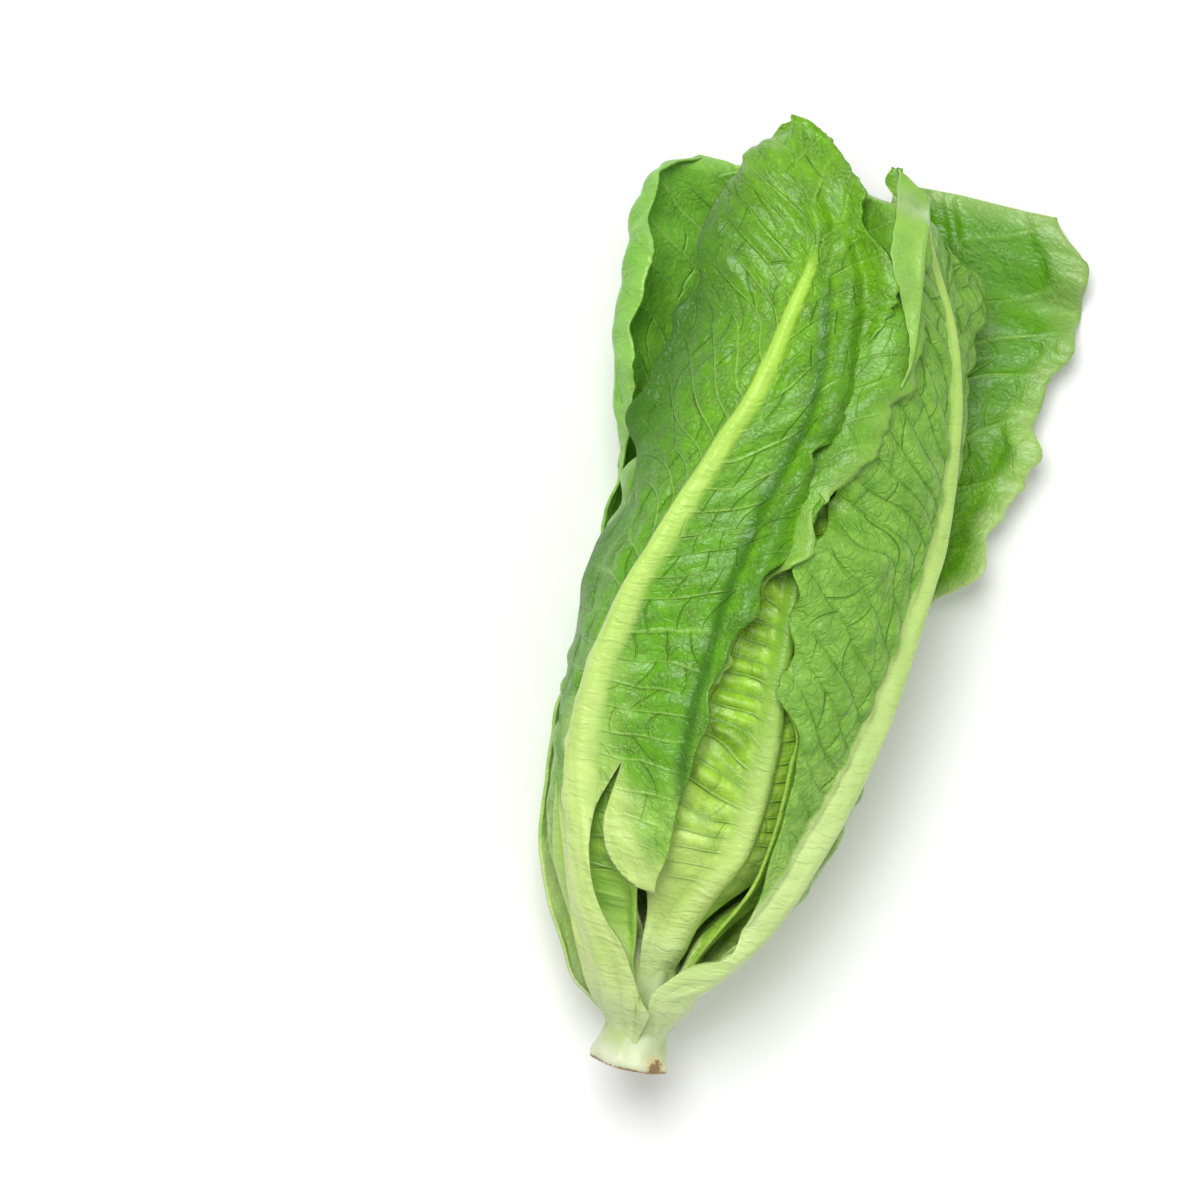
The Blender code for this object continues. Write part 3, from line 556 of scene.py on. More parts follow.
def leaf_faces(kept):
    """Points of the outer and the inner face of a leaf, in rows of columns."""
    form = kept["form"]
    rows = mesh_rows(kept)
    outer_rows = smooth_curve(form["v"], form["outer"], rows)
    stretch_rows = smooth_curve(form["v"], form["stretch"], rows)
    outer, inner = [], []
    for v, far, stretch in zip(rows, outer_rows, stretch_rows):
        s = station(kept, v)
        u = section_shares(kept, v)
        angle = leaf_angle(kept, np.full_like(u, v), u)
        radius = np.minimum(smooth_curve(form["u"], far, u), table_radius(kept, angle, s))
        lean = smooth_curve(form["u"], stretch, u)
        off_rib = np.abs(u) * half_widths(kept, np.full_like(u, v), u, radius)
        wall = thickness(kept, np.full_like(u, v), off_rib) * lean
        outer.append(place(angle, np.full_like(u, s), radius))
        inner.append(place(angle, np.full_like(u, s), radius - wall))
    return np.array(outer), np.array(inner)


# What each leaf's surface is like. step is the grain of its mesh in mm. pitch and slope are those of the
# side veins at the base and at the tip, ridges their height, puckers the height and length of the pillows
# between them, teeth and frill the depth of the margin's teeth and frill on the lower and the higher side,
# teeth_from the shares where the teeth set in, and rib_end the share where the midrib fades. rib_soft is
# where its colour ends, in half widths of the rib. narrow says how pointed the tip is, and length how much
# of the leaf is drawn.
LOOKS = {
    "outer_leaf_front": dict(step=0.8, pitch=(5.8, 8.5), slope=(0.1, 1.1), ridges=0.35, puckers=(1.35, 10),
                             teeth=(1.5, 0.25), teeth_from=(0.5, 0.58), frill=(1.0, 0.15), rib_end=0.86,
                             narrow=-0.1,
                             rib_soft=(0.35, 1.3), skin="front"),
    "outer_leaf_right": dict(step=0.8, pitch=(8, 9), slope=(1.0, 1.0), ridges=0.0, puckers=(1.3, 8.5),
                             teeth=(0.5, 1.0), rib_end=0.97, rib_soft=(1.0, 2.0), skin="puckered"),
    "inner_leaf_front": dict(step=0.8, pitch=(5.2, 6), slope=(0.45, 0.6), ridges=0.1, puckers=(2.4, 19),
                             teeth=(0.9, 0.5), rib_end=0.97, rib_soft=(0.0, 1.8), skin="inner"),
    "middle_leaf_front": dict(step=1.1, pitch=(7, 9), slope=(0.5, 1.0), ridges=0.3, puckers=(1.3, 9),
                              teeth=(1.4, 0.6), rib_end=0.9, length=0.975, skin="torn_edge"),
    "inner_leaf_right": dict(step=1.1, pitch=(5, 7), slope=(0.4, 0.8), ridges=0.3, puckers=(0.8, 8),
                             teeth=(0.5, 0.9), rib_end=0.9, skin="bright"),
    "outer_leaf_spread": dict(step=1.0, pitch=(11, 15), slope=(0.5, 0.75), ridges=0.25, puckers=(1.6, 15),
                              teeth=(0.4, 1.3), rib_end=0.7, narrow=0.0, skin="spread"),
    "outer_leaf_under": dict(step=1.1, pitch=(10, 14), slope=(0.5, 1.0), ridges=0.25, puckers=(1.4, 12),
                             teeth=(0.9, 0.4), rib_end=0.85, skin="under"),
    "middle_leaf_left": dict(step=1.5, skin="under"),
    "middle_leaf_under": dict(step=1.8, length=0.93, skin="under"),
    "inner_leaf_back": dict(step=2.0, skin="inner"),
    "inner_leaf_left": dict(step=2.0, skin="inner"),
    "inner_leaf_under": dict(step=2.2, skin="heart"),
    **{f"heart_leaf_{count}": dict(step=2.2, skin="heart") for count in (1, 2, 3, 4)},
}

# What a leaf's look is where its entry doesn't say
PLAIN = dict(pitch=(7, 10), slope=(0.4, 0.9), ridges=0.2, puckers=(0.6, 9), teeth=(0.6, 0.6),
             teeth_from=(0.22, 0.4),
             frill=(1.0, 1.0), rib_end=0.95, narrow=0.55, rib_soft=(0.5, 1.1), length=1.0)

# How far a leaf's root reaches into the stem, and how far apart the teeth and the frills of a margin are
ROOT_DEPTH = 4.5
TOOTH_PITCH = 5.6
FRILL_PITCH = 13.0

# Each strip between side veins has its cross veins moved on by this share of a pillow
STRIP_SHIFT = 0.618

# Crest of the pleat in the front leaf: stations, and how far it stands from the stalk
PLEAT_AT = (84, 102, 120, 138, 154, 170, 190, 205, 224, 236)
PLEAT_OFF = (31, 31.5, 30, 27, 24, 23, 20, 16, 9, 5)

# The part of the right-hand leaf's edge that is turned over: stations, and its free edge and its fold
# sideways
TURNED_AT = (194, 201, 208, 213, 221, 231, 240, 252)
TURNED_EDGE = (27.2, 27.0, 26.2, 24.0, 19.6, 15.9, 15.4, 13.8)
TURNED_FOLD = (27.8, 29.0, 28.8, 28.4, 27.4, 26.2, 25.2, 24.6)

# Its thickness, its room over the blade at the fold and over what it lies on, and the last station that
# carries it
TURNED_THICKNESS = 0.7
FOLD_ROOM = 1.3
TURNED_ROOM = 1.6
TURNED_CARRIED = 243.0

# The slit beside the front leaf's lobe, with the place below it where the leaf's root is gone: sideways and
# station
SLIT_SEEN = ((-21.3, 81.0), (-21.6, 76.0), (-22.5, 66.0), (-20.2, 58.0), (-15.6, 52.6), (-10.5, 49.6),
             (-5.4, 48.4),
             (2.5, 47.0), (9.0, 38.0), (10.0, 25.0), (5.5, 14.5), (0.0, 18.0), (-4.5, 25.0), (-9.6, 33.0),
             (-15.7, 39.0), (-21.0, 47.0), (-24.3, 56.5), (-25.3, 66.0), (-23.4, 74.5))
SLIT_HEIGHTS = (34.0, 110.0)

# The leaves' skins. Each has the colours of its base, middle, tip, dark patches, side veins, cross veins,
# and the midrib's base and tip. The dark patches' colour also paints shade, and the midrib's base colour
# also paints highlights. net is the strength of the veins' net, inside how dark the inner face is, rise
# the way the side veins stand, root_end where the pale root ends, and pale_by where the midrib has turned
# to its tip's colour. The band setting is the strength of the painted shade in the hollows along the side
# veins and of the painted highlight on the swells between them, flank that of the painted shade on the
# far flank, and rim that of the pale margin.
SKINS = {
    "front": ("#a6d25c #66a816 #72ac1c #34680a #aad466 #4e8a14 #cee28c #aeda50",
              dict(net=0.7, inside=0.25, root_end=0.38, flank=0.9)),
    "puckered": ("#acd068 #82b640 #82b63e #568e24 #649c2e #528a22 #cadf94 #acce68",
                 dict(net=1.0, inside=0.2, rise=-1.0)),
    "inner": ("#c6e668 #a0d23a #5c9c16 #3f7a06 #c2e27c #66a024 #d2e88e #7eb03a",
              dict(net=0.4, inside=0.1, root_end=0.26, pale_by=0.5, painted_band_shade_and_highlight=0.42)),
    "torn_edge": ("#a0cc50 #70a82c #6ea82c #427a12 #a8d070 #5e9626 #b4d66c #98c448",
                  dict(net=0.4, root_end=0.08, rim=0.5)),
    "bright": ("#a8d450 #86bc2e #7cb22a #4c8a10 #b4da70 #70a424 #bcd868 #98c448",
               dict(net=0.4, root_end=0.08, rim=0.3)),
    "spread": ("#b0d848 #80bc26 #5c9a1a #3c7810 #98c858 #8cc04a #d8e8a0 #94c248", dict(net=0.5, rim=0.9)),
    "under": ("#b6dc66 #86c440 #82c040 #549428 #a4d86c #94c858 #d2e4a0 #9ccc5c", dict(net=0.5, rim=0.3)),
    "heart": ("#d0e090 #b8d45e #a3c848 #8ab232 #d8e6a4 #a8c65a #e0eac0 #cfe092", dict(net=0.4)),
    "turned_edge": ("#94c058 #8cba4c #90be52 #6ea23a #a6ca70 #82b448 #a9cd7a #a9cd7a", dict(net=0.15)),
}

# Constants of the shaders: a waxy leaf that lets light through, and wet flesh
WAXY_LEAF = {
    "IOR": 1.42, "Coat Weight": 0.12, "Coat Roughness": 0.3, "Subsurface Weight": 0.2,
    "Subsurface Radius": (0.8, 1.0, 0.25), "Subsurface Scale": 0.0016,
}
WET_FLESH = {
    "IOR": 1.4, "Roughness": 0.38, "Subsurface Weight": 0.25, "Subsurface Radius": (1.0, 0.9, 0.5),
    "Subsurface Scale": 0.002,
}

# Inputs of the rings' tree. Then the rings on the cut: number of drops, radius as a share of the foot's,
# the drops' radius, flatness and scatter, the seed, and how far inside the cut the ring lies
RING_INPUTS = (
    ("Count", "Int"), ("Ring radius", "Float"), ("Drop radius", "Float"), ("Flatness", "Float"),
    ("Scatter", "Float"), ("Seed", "Int"), ("Skin", "Material"),
)
RINGS = (
    ("stem_cut_bundles", 20, 0.62, 0.42, 0.5, 0.5, 4, 0.5),
    ("stem_cut_flecks", 46, 0.97, 0.42, 0.8, 0.3, 9, 0.35),
)

# Soft lights: place in metres, size and power. Then the brightness of the white world
LIGHTS = (
    ("window", (-0.3, 0.42, 1.25), 0.7, 15.0),
    ("fill", (0.8, -0.5, 1.4), 1.2, 5.0),
)
LIT_FROM_ALL_SIDES = 0.42

# Kinds of nodes and settings that the materials use again and again
MATH, MIX, RANGE = "ShaderNodeMath", "ShaderNodeMix", "ShaderNodeMapRange"
NOISE, VECTOR, NUMBER = "ShaderNodeTexNoise", "ShaderNodeVectorMath", "ShaderNodeAttribute"
SMOOTH = dict(interpolation_type="SMOOTHSTEP")
COLOURS = dict(out=2, data_type="RGBA")
TIMES = dict(operation="MULTIPLY")
TIMES_PLUS = dict(operation="MULTIPLY_ADD")


def waves(x, y, size, seed, count=7):
    """Smooth noise between about -1 and 1 whose bumps are about size across."""
    dice = np.random.default_rng(seed)
    total = 0
    for k in range(count):
        way = math.pi * (k + dice.random()) / count
        length = size * dice.uniform(1.5, 2.6)
        total = total + np.sin(2 * math.pi * (x * math.cos(way) + y * math.sin(way)) / length + dice.uniform(0, 6.28))
    return total / math.sqrt(count) * 1.2


def vein_phase(kept, look, along, across):
    """A number that is whole on each side vein, and one that grows by one from a cross vein to the next."""
    span = kept["tip"] - kept["base"]
    v = np.clip(along / span, 0, 1)
    slope = look["slope"][0] + (look["slope"][1] - look["slope"][0]) * smooth_step(v, 0.25, 0.85)
    drift = waves(across, along, 24, 5) * 2.4 + waves(across, along, 9, 6) * 0.5
    foot = along - slope * np.abs(across) + 0.006 * across**2 + drift + np.where(across > 0, 0, 2.4)
    growth = (look["pitch"][1] - look["pitch"][0]) / span
    pitch = look["pitch"][0]
    phase = foot / pitch if abs(growth) < 1e-6 else np.log(np.maximum(1 + foot * growth / pitch,
                                                                      0.2)) / growth
    length = look["puckers"][1]
    cell = (np.abs(across) + 4.0 * waves(across, along, 15, 7)) / length + np.where(across > 0, 0.4, 0.0)
    return phase, cell


def covered(kept, later, angle, s):
    """How far a point lies under the leaves that are laid later, from 0 to 1."""
    most = np.zeros_like(angle)
    for other in later:
        v = (s - other["base"]) / (other["tip"] - other["base"])
        low, high = (leaf_angle(other, np.clip(v, 0, 1), np.full_like(v, side)) for side in (-1.0, 1.0))
        middle = (low + high) / 2
        off = np.abs((angle - middle + 180) % 360 - 180)
        inside = 1 - smooth_step(off, (high - low) / 2 - 3, (high - low) / 2 + 3)
        most = np.maximum(most, inside * (v > 0) * (v < 1))
    return most


def relief(kept, look, v, s, along, across, to_margin, phase, cell):
    """Height of the whole blade's bumps over its smooth form."""
    rib = rib_half_width(kept, v)
    blade = smooth_step(np.abs(across), rib * 0.8, rib + 3)
    inward = 0.25 + 0.75 * smooth_step(to_margin, 0, 7)
    strip = np.floor(phase)
    part = phase - strip
    piece = np.mod(cell + STRIP_SHIFT * strip, 1)
    dome = np.sin(math.pi * part) ** 0.75
    dome = dome * (0.5 + 0.5 * np.sin(math.pi * piece) ** 0.6)
    tall = 0.75 + 0.5 * np.sin(strip * 2.4 + np.floor(cell + STRIP_SHIFT * strip) * 1.7)
    # The pillows between the veins, the ridge on each side vein, and broad swells
    height = look["puckers"][0] * (dome * tall - 0.5) * inward * smooth_step(v, 0.08, 0.3)
    ridge = np.exp(-((np.minimum(part, 1 - part) / 0.12) ** 2))
    height = height + look["ridges"] * ridge * inward * smooth_step(v, 0.05, 0.2)
    height = height + 0.7 * waves(across, along, 28, 21) * smooth_step(v, 0.2, 0.5)
    if kept["name"] == "inner_leaf_front":
        # Deep corrugations across the leaf, deeper here and there
        uneven = 0.55 + 0.6 * waves(across, along, 16, 91)
        height = height - 0.55 * uneven * np.cos(2 * math.pi * phase) * smooth_step(v, 0.2, 0.4)
        height = height + 0.5 * waves(across, along, 6.5, 93) * smooth_step(v, 0.15, 0.3)
    height = height * blade
    # The margin's frill
    edge = 1 - smooth_step(to_margin, 0, 9)
    frill = np.sin(2 * math.pi * (along + 3 * waves(along, along * 0, 30, 31)) / FRILL_PITCH + kept["phase"])
    amount = np.where(across > 0, look["frill"][1], look["frill"][0])
    height = height + 1.1 * amount * kept["ruffle"] * frill * edge**2 * smooth_step(v, 0.3, 0.5)
    if kept["name"] == "outer_leaf_front":
        # The pleat along the leaf with a valley on both sides, and the dents of its top
        crest = smooth_curve(PLEAT_AT, PLEAT_OFF, s)
        past = -across - crest
        low = 1 - smooth_step(s, 125, 150)
        fade = smooth_step(s, 60, 95) * (1 - smooth_step(s, 222, 238))
        hill = np.where(past < 0, np.exp(-((past / 4.5) ** 2)), np.exp(-((past / 2.6) ** 2)))
        outer_dip = np.exp(-(((past - 6.0) / 3.2) ** 2)) * (1 - low)
        inner_dip = np.exp(-(((past + 7.5) / 3.0) ** 2))
        height = height + fade * (1.9 * hill - 3.2 * outer_dip - (0.9 + 0.2 * low) * inner_dip)
        dents = waves(across * 0.6, along * 0.9, 13, 41) * smooth_step(s, 165, 205) * blade
        height = height + (1.6 * dents - 0.6 * blade) * (1 - smooth_step(v, 0.93, 0.99))
    if kept["name"] == "outer_leaf_right":
        # The hump and the hollow where the front leaf's margin ends
        near = smooth_step(across, 8, 28)
        height = height + near * (1.8 * np.exp(-(((s - 149) / 5) ** 2)) - 2.8 * np.exp(-(((s - 160) / 6) ** 2)))
    return height


def teeth(along, side, seed):
    """How far the uneven teeth of a margin stand out, about half a millimetre each way."""
    t = along + 2.5 * waves(along, along * 0 + side, 16, seed)
    saw = (t / TOOTH_PITCH) % 1.0
    big = 0.6 * waves(along, along * 0, 8, seed + 2)
    return (np.minimum(saw / 0.7, (1 - saw) / 0.3) - 0.5) * (0.7 + 0.5 * waves(along, along * 0, 11,
                                                                               seed + 1)) + big


def between(form, key, v, u):
    """A form's field read at finer rows and columns."""
    rows = smooth_curve(form["v"], form[key], v)
    return smooth_curve(form["u"], rows.T, u).T


def fine_leaf(kept, later, shift):
    """The leaf as it is seen: points of both faces, and what its skin reads at each of them."""
    look = {**PLAIN, **LOOKS[kept["name"]]}
    form, span = kept["form"], kept["tip"] - kept["base"]
    count = int(span / look["step"])
    lead = np.linspace(-ROOT_DEPTH / span, 0, 5)[:-1]
    v_rows = np.concatenate([lead, look["length"] * np.sin(np.linspace(0, math.pi / 2, count)) ** 1.1])
    widest = kept["tightness"] * head_radius(HEAD_LENGTH / 2)
    width = np.radians(leaf_angle(kept, 0.5, 1.0) - leaf_angle(kept, 0.5, -1.0)) * widest
    columns = 2 * int(width / look["step"] / 2) + 1
    u_columns = np.linspace(-1, 1, columns)
    held = np.clip(v_rows, 0, 1)
    inner = between(form, "inner", held, u_columns)
    stretch = between(form, "stretch", held, u_columns)
    v, u = np.meshgrid(v_rows, u_columns, indexing="ij")
    v0 = np.clip(v, 0, 1)
    s = station(kept, v)
    half = half_widths(kept, v0, u, inner)
    rounded = 1 - look["narrow"] * np.clip((v - 0.98) / 0.02, 0, 1) ** 2
    side = np.where(u > 0, 1.0, 0.0)
    depth = np.where(u > 0, look["teeth"][1], look["teeth"][0])
    worn = smooth_step(v, *look["teeth_from"]) * (1 - smooth_step(v, 0.94, 0.985))
    toothed = worn * depth * teeth(s, side, 51) / np.maximum(half, 6)
    centre = leaf_angle(kept, v0, u * 0)
    if kept["name"] == "outer_leaf_right":
        # The blade ends under the strip that is turned over it
        sideways = smooth_curve(TURNED_AT, TURNED_EDGE, s) + 3.5 - axis_at(s)[0]
        limit = np.degrees(np.arccos(np.clip(sideways / head_radius(s), -1, 1)))
        held_in = np.clip((limit - centre) / np.maximum(leaf_angle(kept, v0, u * 0 + 1) - centre, 1), 0.3, 1)
        rounded = rounded * (1 - (1 - held_in) * (u > 0) * smooth_step(s, 198, 214))
    angle = centre + (leaf_angle(kept, v0, u) - centre) * rounded * (1 + toothed * np.abs(u) ** 8)
    across = u * half * rounded
    along = np.maximum(v, 0) * span
    to_margin = np.minimum((1 - np.abs(u)) * half, (1 - v) * span)
    phase, cell = vein_phase(kept, look, along, across)
    bumps = relief(kept, look, v, s, along, across, to_margin, phase, cell)
    bumps = bumps * (1 - 0.85 * covered(kept, later, angle, s))
    wide, fold = np.ones_like(s), np.zeros_like(s)
    if kept["name"] == "outer_leaf_front":
        # The flesh of the rib spreads to the left low down, the pleat is a fold, and the left margin is
        # even
        lower = 1 - smooth_step(s, 90, 140)
        wide = np.where(across > 0, 1 + 0.9 * lower, 1 - 0.4 * lower)
        past = -across - smooth_curve(PLEAT_AT, PLEAT_OFF, s)
        seen = smooth_step(s, 55, 80) * (1 - smooth_step(s, 205, 230))
        # fold marks the pleat's tube, above 0, and the valley inside it, below 0, where the skin paints shade
        fold = seen * (np.exp(-((past / 3.4) ** 2)) - np.exp(-(((past + 6.5) / 2.4) ** 2)))
        wave = np.sin(2 * math.pi * (s - kept["base"]) / RUFFLE_PITCH + kept["phase"])
        even = kept["ruffle"] * RUFFLE_HEIGHT * wave * np.abs(u) ** 4 * smooth_step(v0, 0.25, 0.5)
        bumps = bumps - 0.8 * even * (u > 0)
        s = s - 2.2 * np.abs(u) ** 3 * smooth_step(v, 0.96, 1.0)
    off_rib = np.abs(across) / wide
    wall = thickness(kept, v0, off_rib)
    radius = inner + wall * stretch + bumps * stretch
    rooted = smooth_step(v * span, -ROOT_DEPTH, 8)
    radius = rooted * radius + (1 - rooted) * (stem_radius(s) - 1.0)
    radius = np.minimum(radius, table_radius(kept, angle, s))
    outer = place(angle, s, radius)
    low = outer - normals(outer) * wall[..., None]
    rib = rib_half_width(kept, v0)
    ribs = 1 - smooth_step(off_rib, rib * look["rib_soft"][0], rib * look["rib_soft"][1])
    ribs = ribs * (1 - smooth_step(v, look["rib_end"] - 0.05, look["rib_end"] + 0.03))
    margin = np.clip(to_margin / 10, 0, 1)
    facts = dict(share=v0, rib=ribs, vein=phase, cell=cell, margin=margin, fold=fold, across=across,
                 along=along)
    return outer + shift, low + shift, facts


def set_in_scene(name, data):
    """A new object of the scene."""
    made = bpy.data.objects.new(name, data)
    bpy.context.scene.collection.objects.link(made)
    return made


def attach(data, key, values):
    """Gives each point of a mesh a number that its skin reads."""
    data.attributes.new(key, "FLOAT", "POINT").data.foreach_set("value", np.ravel(values).astype(np.float32))


def finish_mesh(piece):
    """Turns what a piece's modifiers make into its plain mesh, and takes them off it."""
    graph = bpy.context.evaluated_depsgraph_get()
    shown = piece.evaluated_get(graph)
    data = bpy.data.meshes.new_from_object(shown, preserve_all_data_layers=True, depsgraph=graph)
    piece.modifiers.clear()
    piece.data = data


def closed_sheet(name, outer, low, facts):
    """A closed mesh from the points of a sheet's two faces, with what its skin reads."""
    rows, columns = outer.shape[:2]
    top = np.arange(rows * columns).reshape(rows, columns)
    under = top + rows * columns
    a, b, c, d = top[:-1, :-1], top[:-1, 1:], top[1:, 1:], top[1:, :-1]
    faces = [np.stack([a, d, c, b], axis=-1).reshape(-1, 4)]
    a, b, c, d = under[:-1, :-1], under[:-1, 1:], under[1:, 1:], under[1:, :-1]
    faces.append(np.stack([a, b, c, d], axis=-1).reshape(-1, 4))
    way = [(0, j) for j in range(columns - 1)] + [(i, columns - 1) for i in range(rows - 1)]
    way += [(rows - 1, j) for j in range(columns - 1, 0, -1)] + [(i, 0) for i in range(rows - 1, 0, -1)]
    i, j = np.array(way).T
    k, m = np.roll(i, -1), np.roll(j, -1)
    faces.append(np.stack([top[i, j], top[k, m], under[k, m], under[i, j]], axis=-1))
    data = bpy.data.meshes.new(name)
    points = np.concatenate([outer.reshape(-1, 3), low.reshape(-1, 3)]) * MM
    data.from_pydata(points.tolist(), [], np.concatenate(faces).tolist())
    for key in ("share", "rib", "vein", "cell", "margin", "fold"):
        attach(data, key, [facts[key], facts[key]])
    attach(data, "outside", [np.ones(rows * columns), np.zeros(rows * columns)])
    corners = np.empty(len(data.loops), int)
    data.loops.foreach_get("vertex_index", corners)
    flat = np.stack([0.5 + facts["across"] / SKIN_SPAN, facts["along"] / SKIN_SPAN], axis=-1).reshape(-1, 2)
    flat = np.concatenate([flat, flat])[corners]
    data.uv_layers.new(name="skin").data.foreach_set("uv", flat.ravel())
    data.shade_smooth()
    return set_in_scene(name, data)


def cut_slit(leaf_piece, shift):
    """Opens the slit between the stalk and the free lobe of the front leaf."""
    at = np.array(SLIT_SEEN)
    count = len(at)
    share = np.arange(count + 1)
    looped = np.concatenate([at, at[:1]])
    t = np.linspace(0, count, 6 * count, endpoint=False)
    outline = smooth_curve(share, looped, t)
    mesh = bmesh.new()
    low, high = (
        [mesh.verts.new(((x + shift[0]) * MM, (y + shift[1]) * MM, z * MM)) for x, y in outline]
        for z in SLIT_HEIGHTS
    )
    mesh.faces.new(low)
    mesh.faces.new(high)
    for i in range(len(low)):
        k = (i + 1) % len(low)
        mesh.faces.new((low[i], low[k], high[k], high[i]))
    bmesh.ops.recalc_face_normals(mesh, faces=mesh.faces)
    data = bpy.data.meshes.new("slit_cutter")
    mesh.to_mesh(data)
    mesh.free()
    cutter = set_in_scene("slit_cutter", data)
    cut = leaf_piece.modifiers.new("slit", "BOOLEAN")
    cut.operation = "DIFFERENCE"
    cut.solver = "MANIFOLD"
    cut.object = cutter
    finish_mesh(leaf_piece)
    bpy.data.objects.remove(cutter)


def turned_edge(kept, reached, shift):
    """The strip at the top of the right-hand leaf where its margin is turned over towards the viewer."""
    t, s = np.meshgrid(np.linspace(0, 1, 21), np.linspace(TURNED_AT[0], TURNED_AT[-1], 110))
    edge, fold = (smooth_curve(TURNED_AT, each, s) for each in (TURNED_EDGE, TURNED_FOLD))
    s = s - 5.5 * (1 - t) * smooth_step(s, 236, 252)
    edge = edge + 0.5 * teeth(s, s * 0, 61)
    sideways = fold + t * (edge - fold) - axis_at(s)[0]
    # It leaves the blade at the fold, and lies over what is highest in its row, by a mean over 13 rows
    form = kept["form"]
    v = np.clip((s[:, 0] - kept["base"]) / (kept["tip"] - kept["base"]), 0, 1)
    centre = leaf_angle(kept, v, v * 0)
    rows = smooth_curve(form["v"], form["outer"], v)
    angle = np.full_like(s, 55.0)
    for turn in range(6):
        share = (angle[:, 0] - centre) / (leaf_angle(kept, v, v * 0 + 1) - centre)
        blade = np.array([np.interp(u, form["u"], row) for u, row in zip(share, rows)])[:, None] + FOLD_ROOM
        radius = reached.read(reached.radius, angle, np.minimum(s, TURNED_CARRIED)) + TURNED_ROOM
        radius = np.pad(radius.max(axis=1), 6, mode="edge")
        radius = np.convolve(radius, np.full(13, 1 / 13), mode="valid")[:, None] + 0 * t
        radius = blade + np.maximum(radius - blade, 0) * smooth_step(t, -0.05, 0.2)
        angle = np.degrees(np.arccos(np.clip(sideways / radius, -1, 1)))
    from_fold = t * (fold - edge)
    bead = 1.3 * np.exp(-(((from_fold - 1.2) / 1.8) ** 2)) * smooth_step(from_fold, -0.4, 1.2)
    radius = radius + bead + 0.3 * waves(from_fold, s, 11, 71)
    outer = place(angle, s, radius)
    low = outer - normals(outer) * TURNED_THICKNESS
    half = s * 0 + 0.5
    facts = dict(share=s / 260, rib=s * 0, vein=half, cell=half, margin=half * 2, fold=s * 0,
                 across=12 + from_fold,
                 along=s)
    return closed_sheet("outer_leaf_right_turned_edge", outer + shift, low + shift, facts)


def stem_lean():
    """The angle at which the stem rises along its length."""
    return math.atan2(axis_at(60.0)[1] - axis_at(0.0)[1], 60.0)


def stem_piece(shift):
    """The cut stem: a flared foot with an uneven rim, a neck, and a cone that ends inside the heart."""
    at = np.concatenate([[0.0, 0.0, 0.35], np.linspace(0.8, 3, 6), np.linspace(4, STEM_AT[-1], 50)])
    turn = np.linspace(0, 2 * math.pi, 96, endpoint=False)
    s, way = np.meshgrid(at, turn, indexing="ij")
    radius = smooth_curve(STEM_AT, STEM_RADIUS, s)
    lobes = 0.35 * np.cos(5 * way + 1) + 0.22 * np.cos(9 * way + 2)
    radius = radius + lobes * smooth_step(s, 0, 4) * (1 - smooth_step(s, 26, 40))
    rough = waves(way * 9, s * 0, 5, 81)
    flap = np.exp(-(((way - 0.3) / 0.16) ** 2)) + np.exp(-(((way - 2.85) / 0.14) ** 2))
    radius = radius + (0.3 * rough + 0.8 * flap) * (1 - smooth_step(s, 0, 3.5)) - 0.5 * (s < 0.05)
    radius[0] = radius[0] * 0.0 + 0.02
    s = s.copy()
    s[0] = STEM_HOLLOW
    s[1] = s[1] + 0.2 * rough[1]
    lean = stem_lean()
    side, up = radius * np.cos(way), radius * np.sin(way)
    points = np.stack(
        [side, s * math.cos(lean) - up * math.sin(lean),
         axis_at(0.0)[1] + s * math.sin(lean) + up * math.cos(lean)],
        axis=-1,
    )
    rows, columns = s.shape
    index = np.arange(rows * columns).reshape(rows, columns)
    following = np.roll(index, -1, axis=1)
    faces = np.stack([index[:-1], index[1:], following[1:], following[:-1]], axis=-1).reshape(-1, 4).tolist()
    faces += [index[0].tolist(), index[-1][::-1].tolist()]
    data = bpy.data.meshes.new("stem_cut")
    data.from_pydata(((points.reshape(-1, 3) + shift) * MM).tolist(), [], faces)
    attach(data, "height", s)
    attach(data, "torn", np.exp(-(((way - 0.75) / 0.5) ** 2)) * (1 - smooth_step(s, 2, 8)))
    attach(data, "outside", (np.arange(rows) > 1)[:, None] * np.ones(columns))
    data.shade_smooth()
    return set_in_scene("stem_cut", data)


def hex_colour(code):
    """An sRGB hex colour as the linear colour that a socket takes."""
    parts = [int(code[i : i + 2], 16) / 255 for i in (1, 3, 5)]
    return tuple(c / 12.92 if c <= 0.04045 else ((c + 0.055) / 1.055) ** 2.4 for c in parts) + (1.0,)


def add(tree, kind, inputs=None, out=0, **settings):
    """Adds one node with its settings and with its inputs set or linked, and gives back one of its
    outputs."""
    made = tree.nodes.new(kind)
    for key, value in settings.items():
        setattr(made, key, value)
    for key, value in (inputs or {}).items():
        if isinstance(value, bpy.types.NodeSocket):
            tree.links.new(value, made.inputs[key])
        else:
            made.inputs[key].default_value = value
    return made.outputs[out]


def new_material(name, constants):
    """A material with constants on its shader's own sockets, then its node tree and its shader."""
    made = bpy.data.materials.new(name)
    made.use_nodes = True
    shader = made.node_tree.nodes["Principled BSDF"]
    for key, value in constants.items():
        shader.inputs[key].default_value = value
    return made, made.node_tree, shader


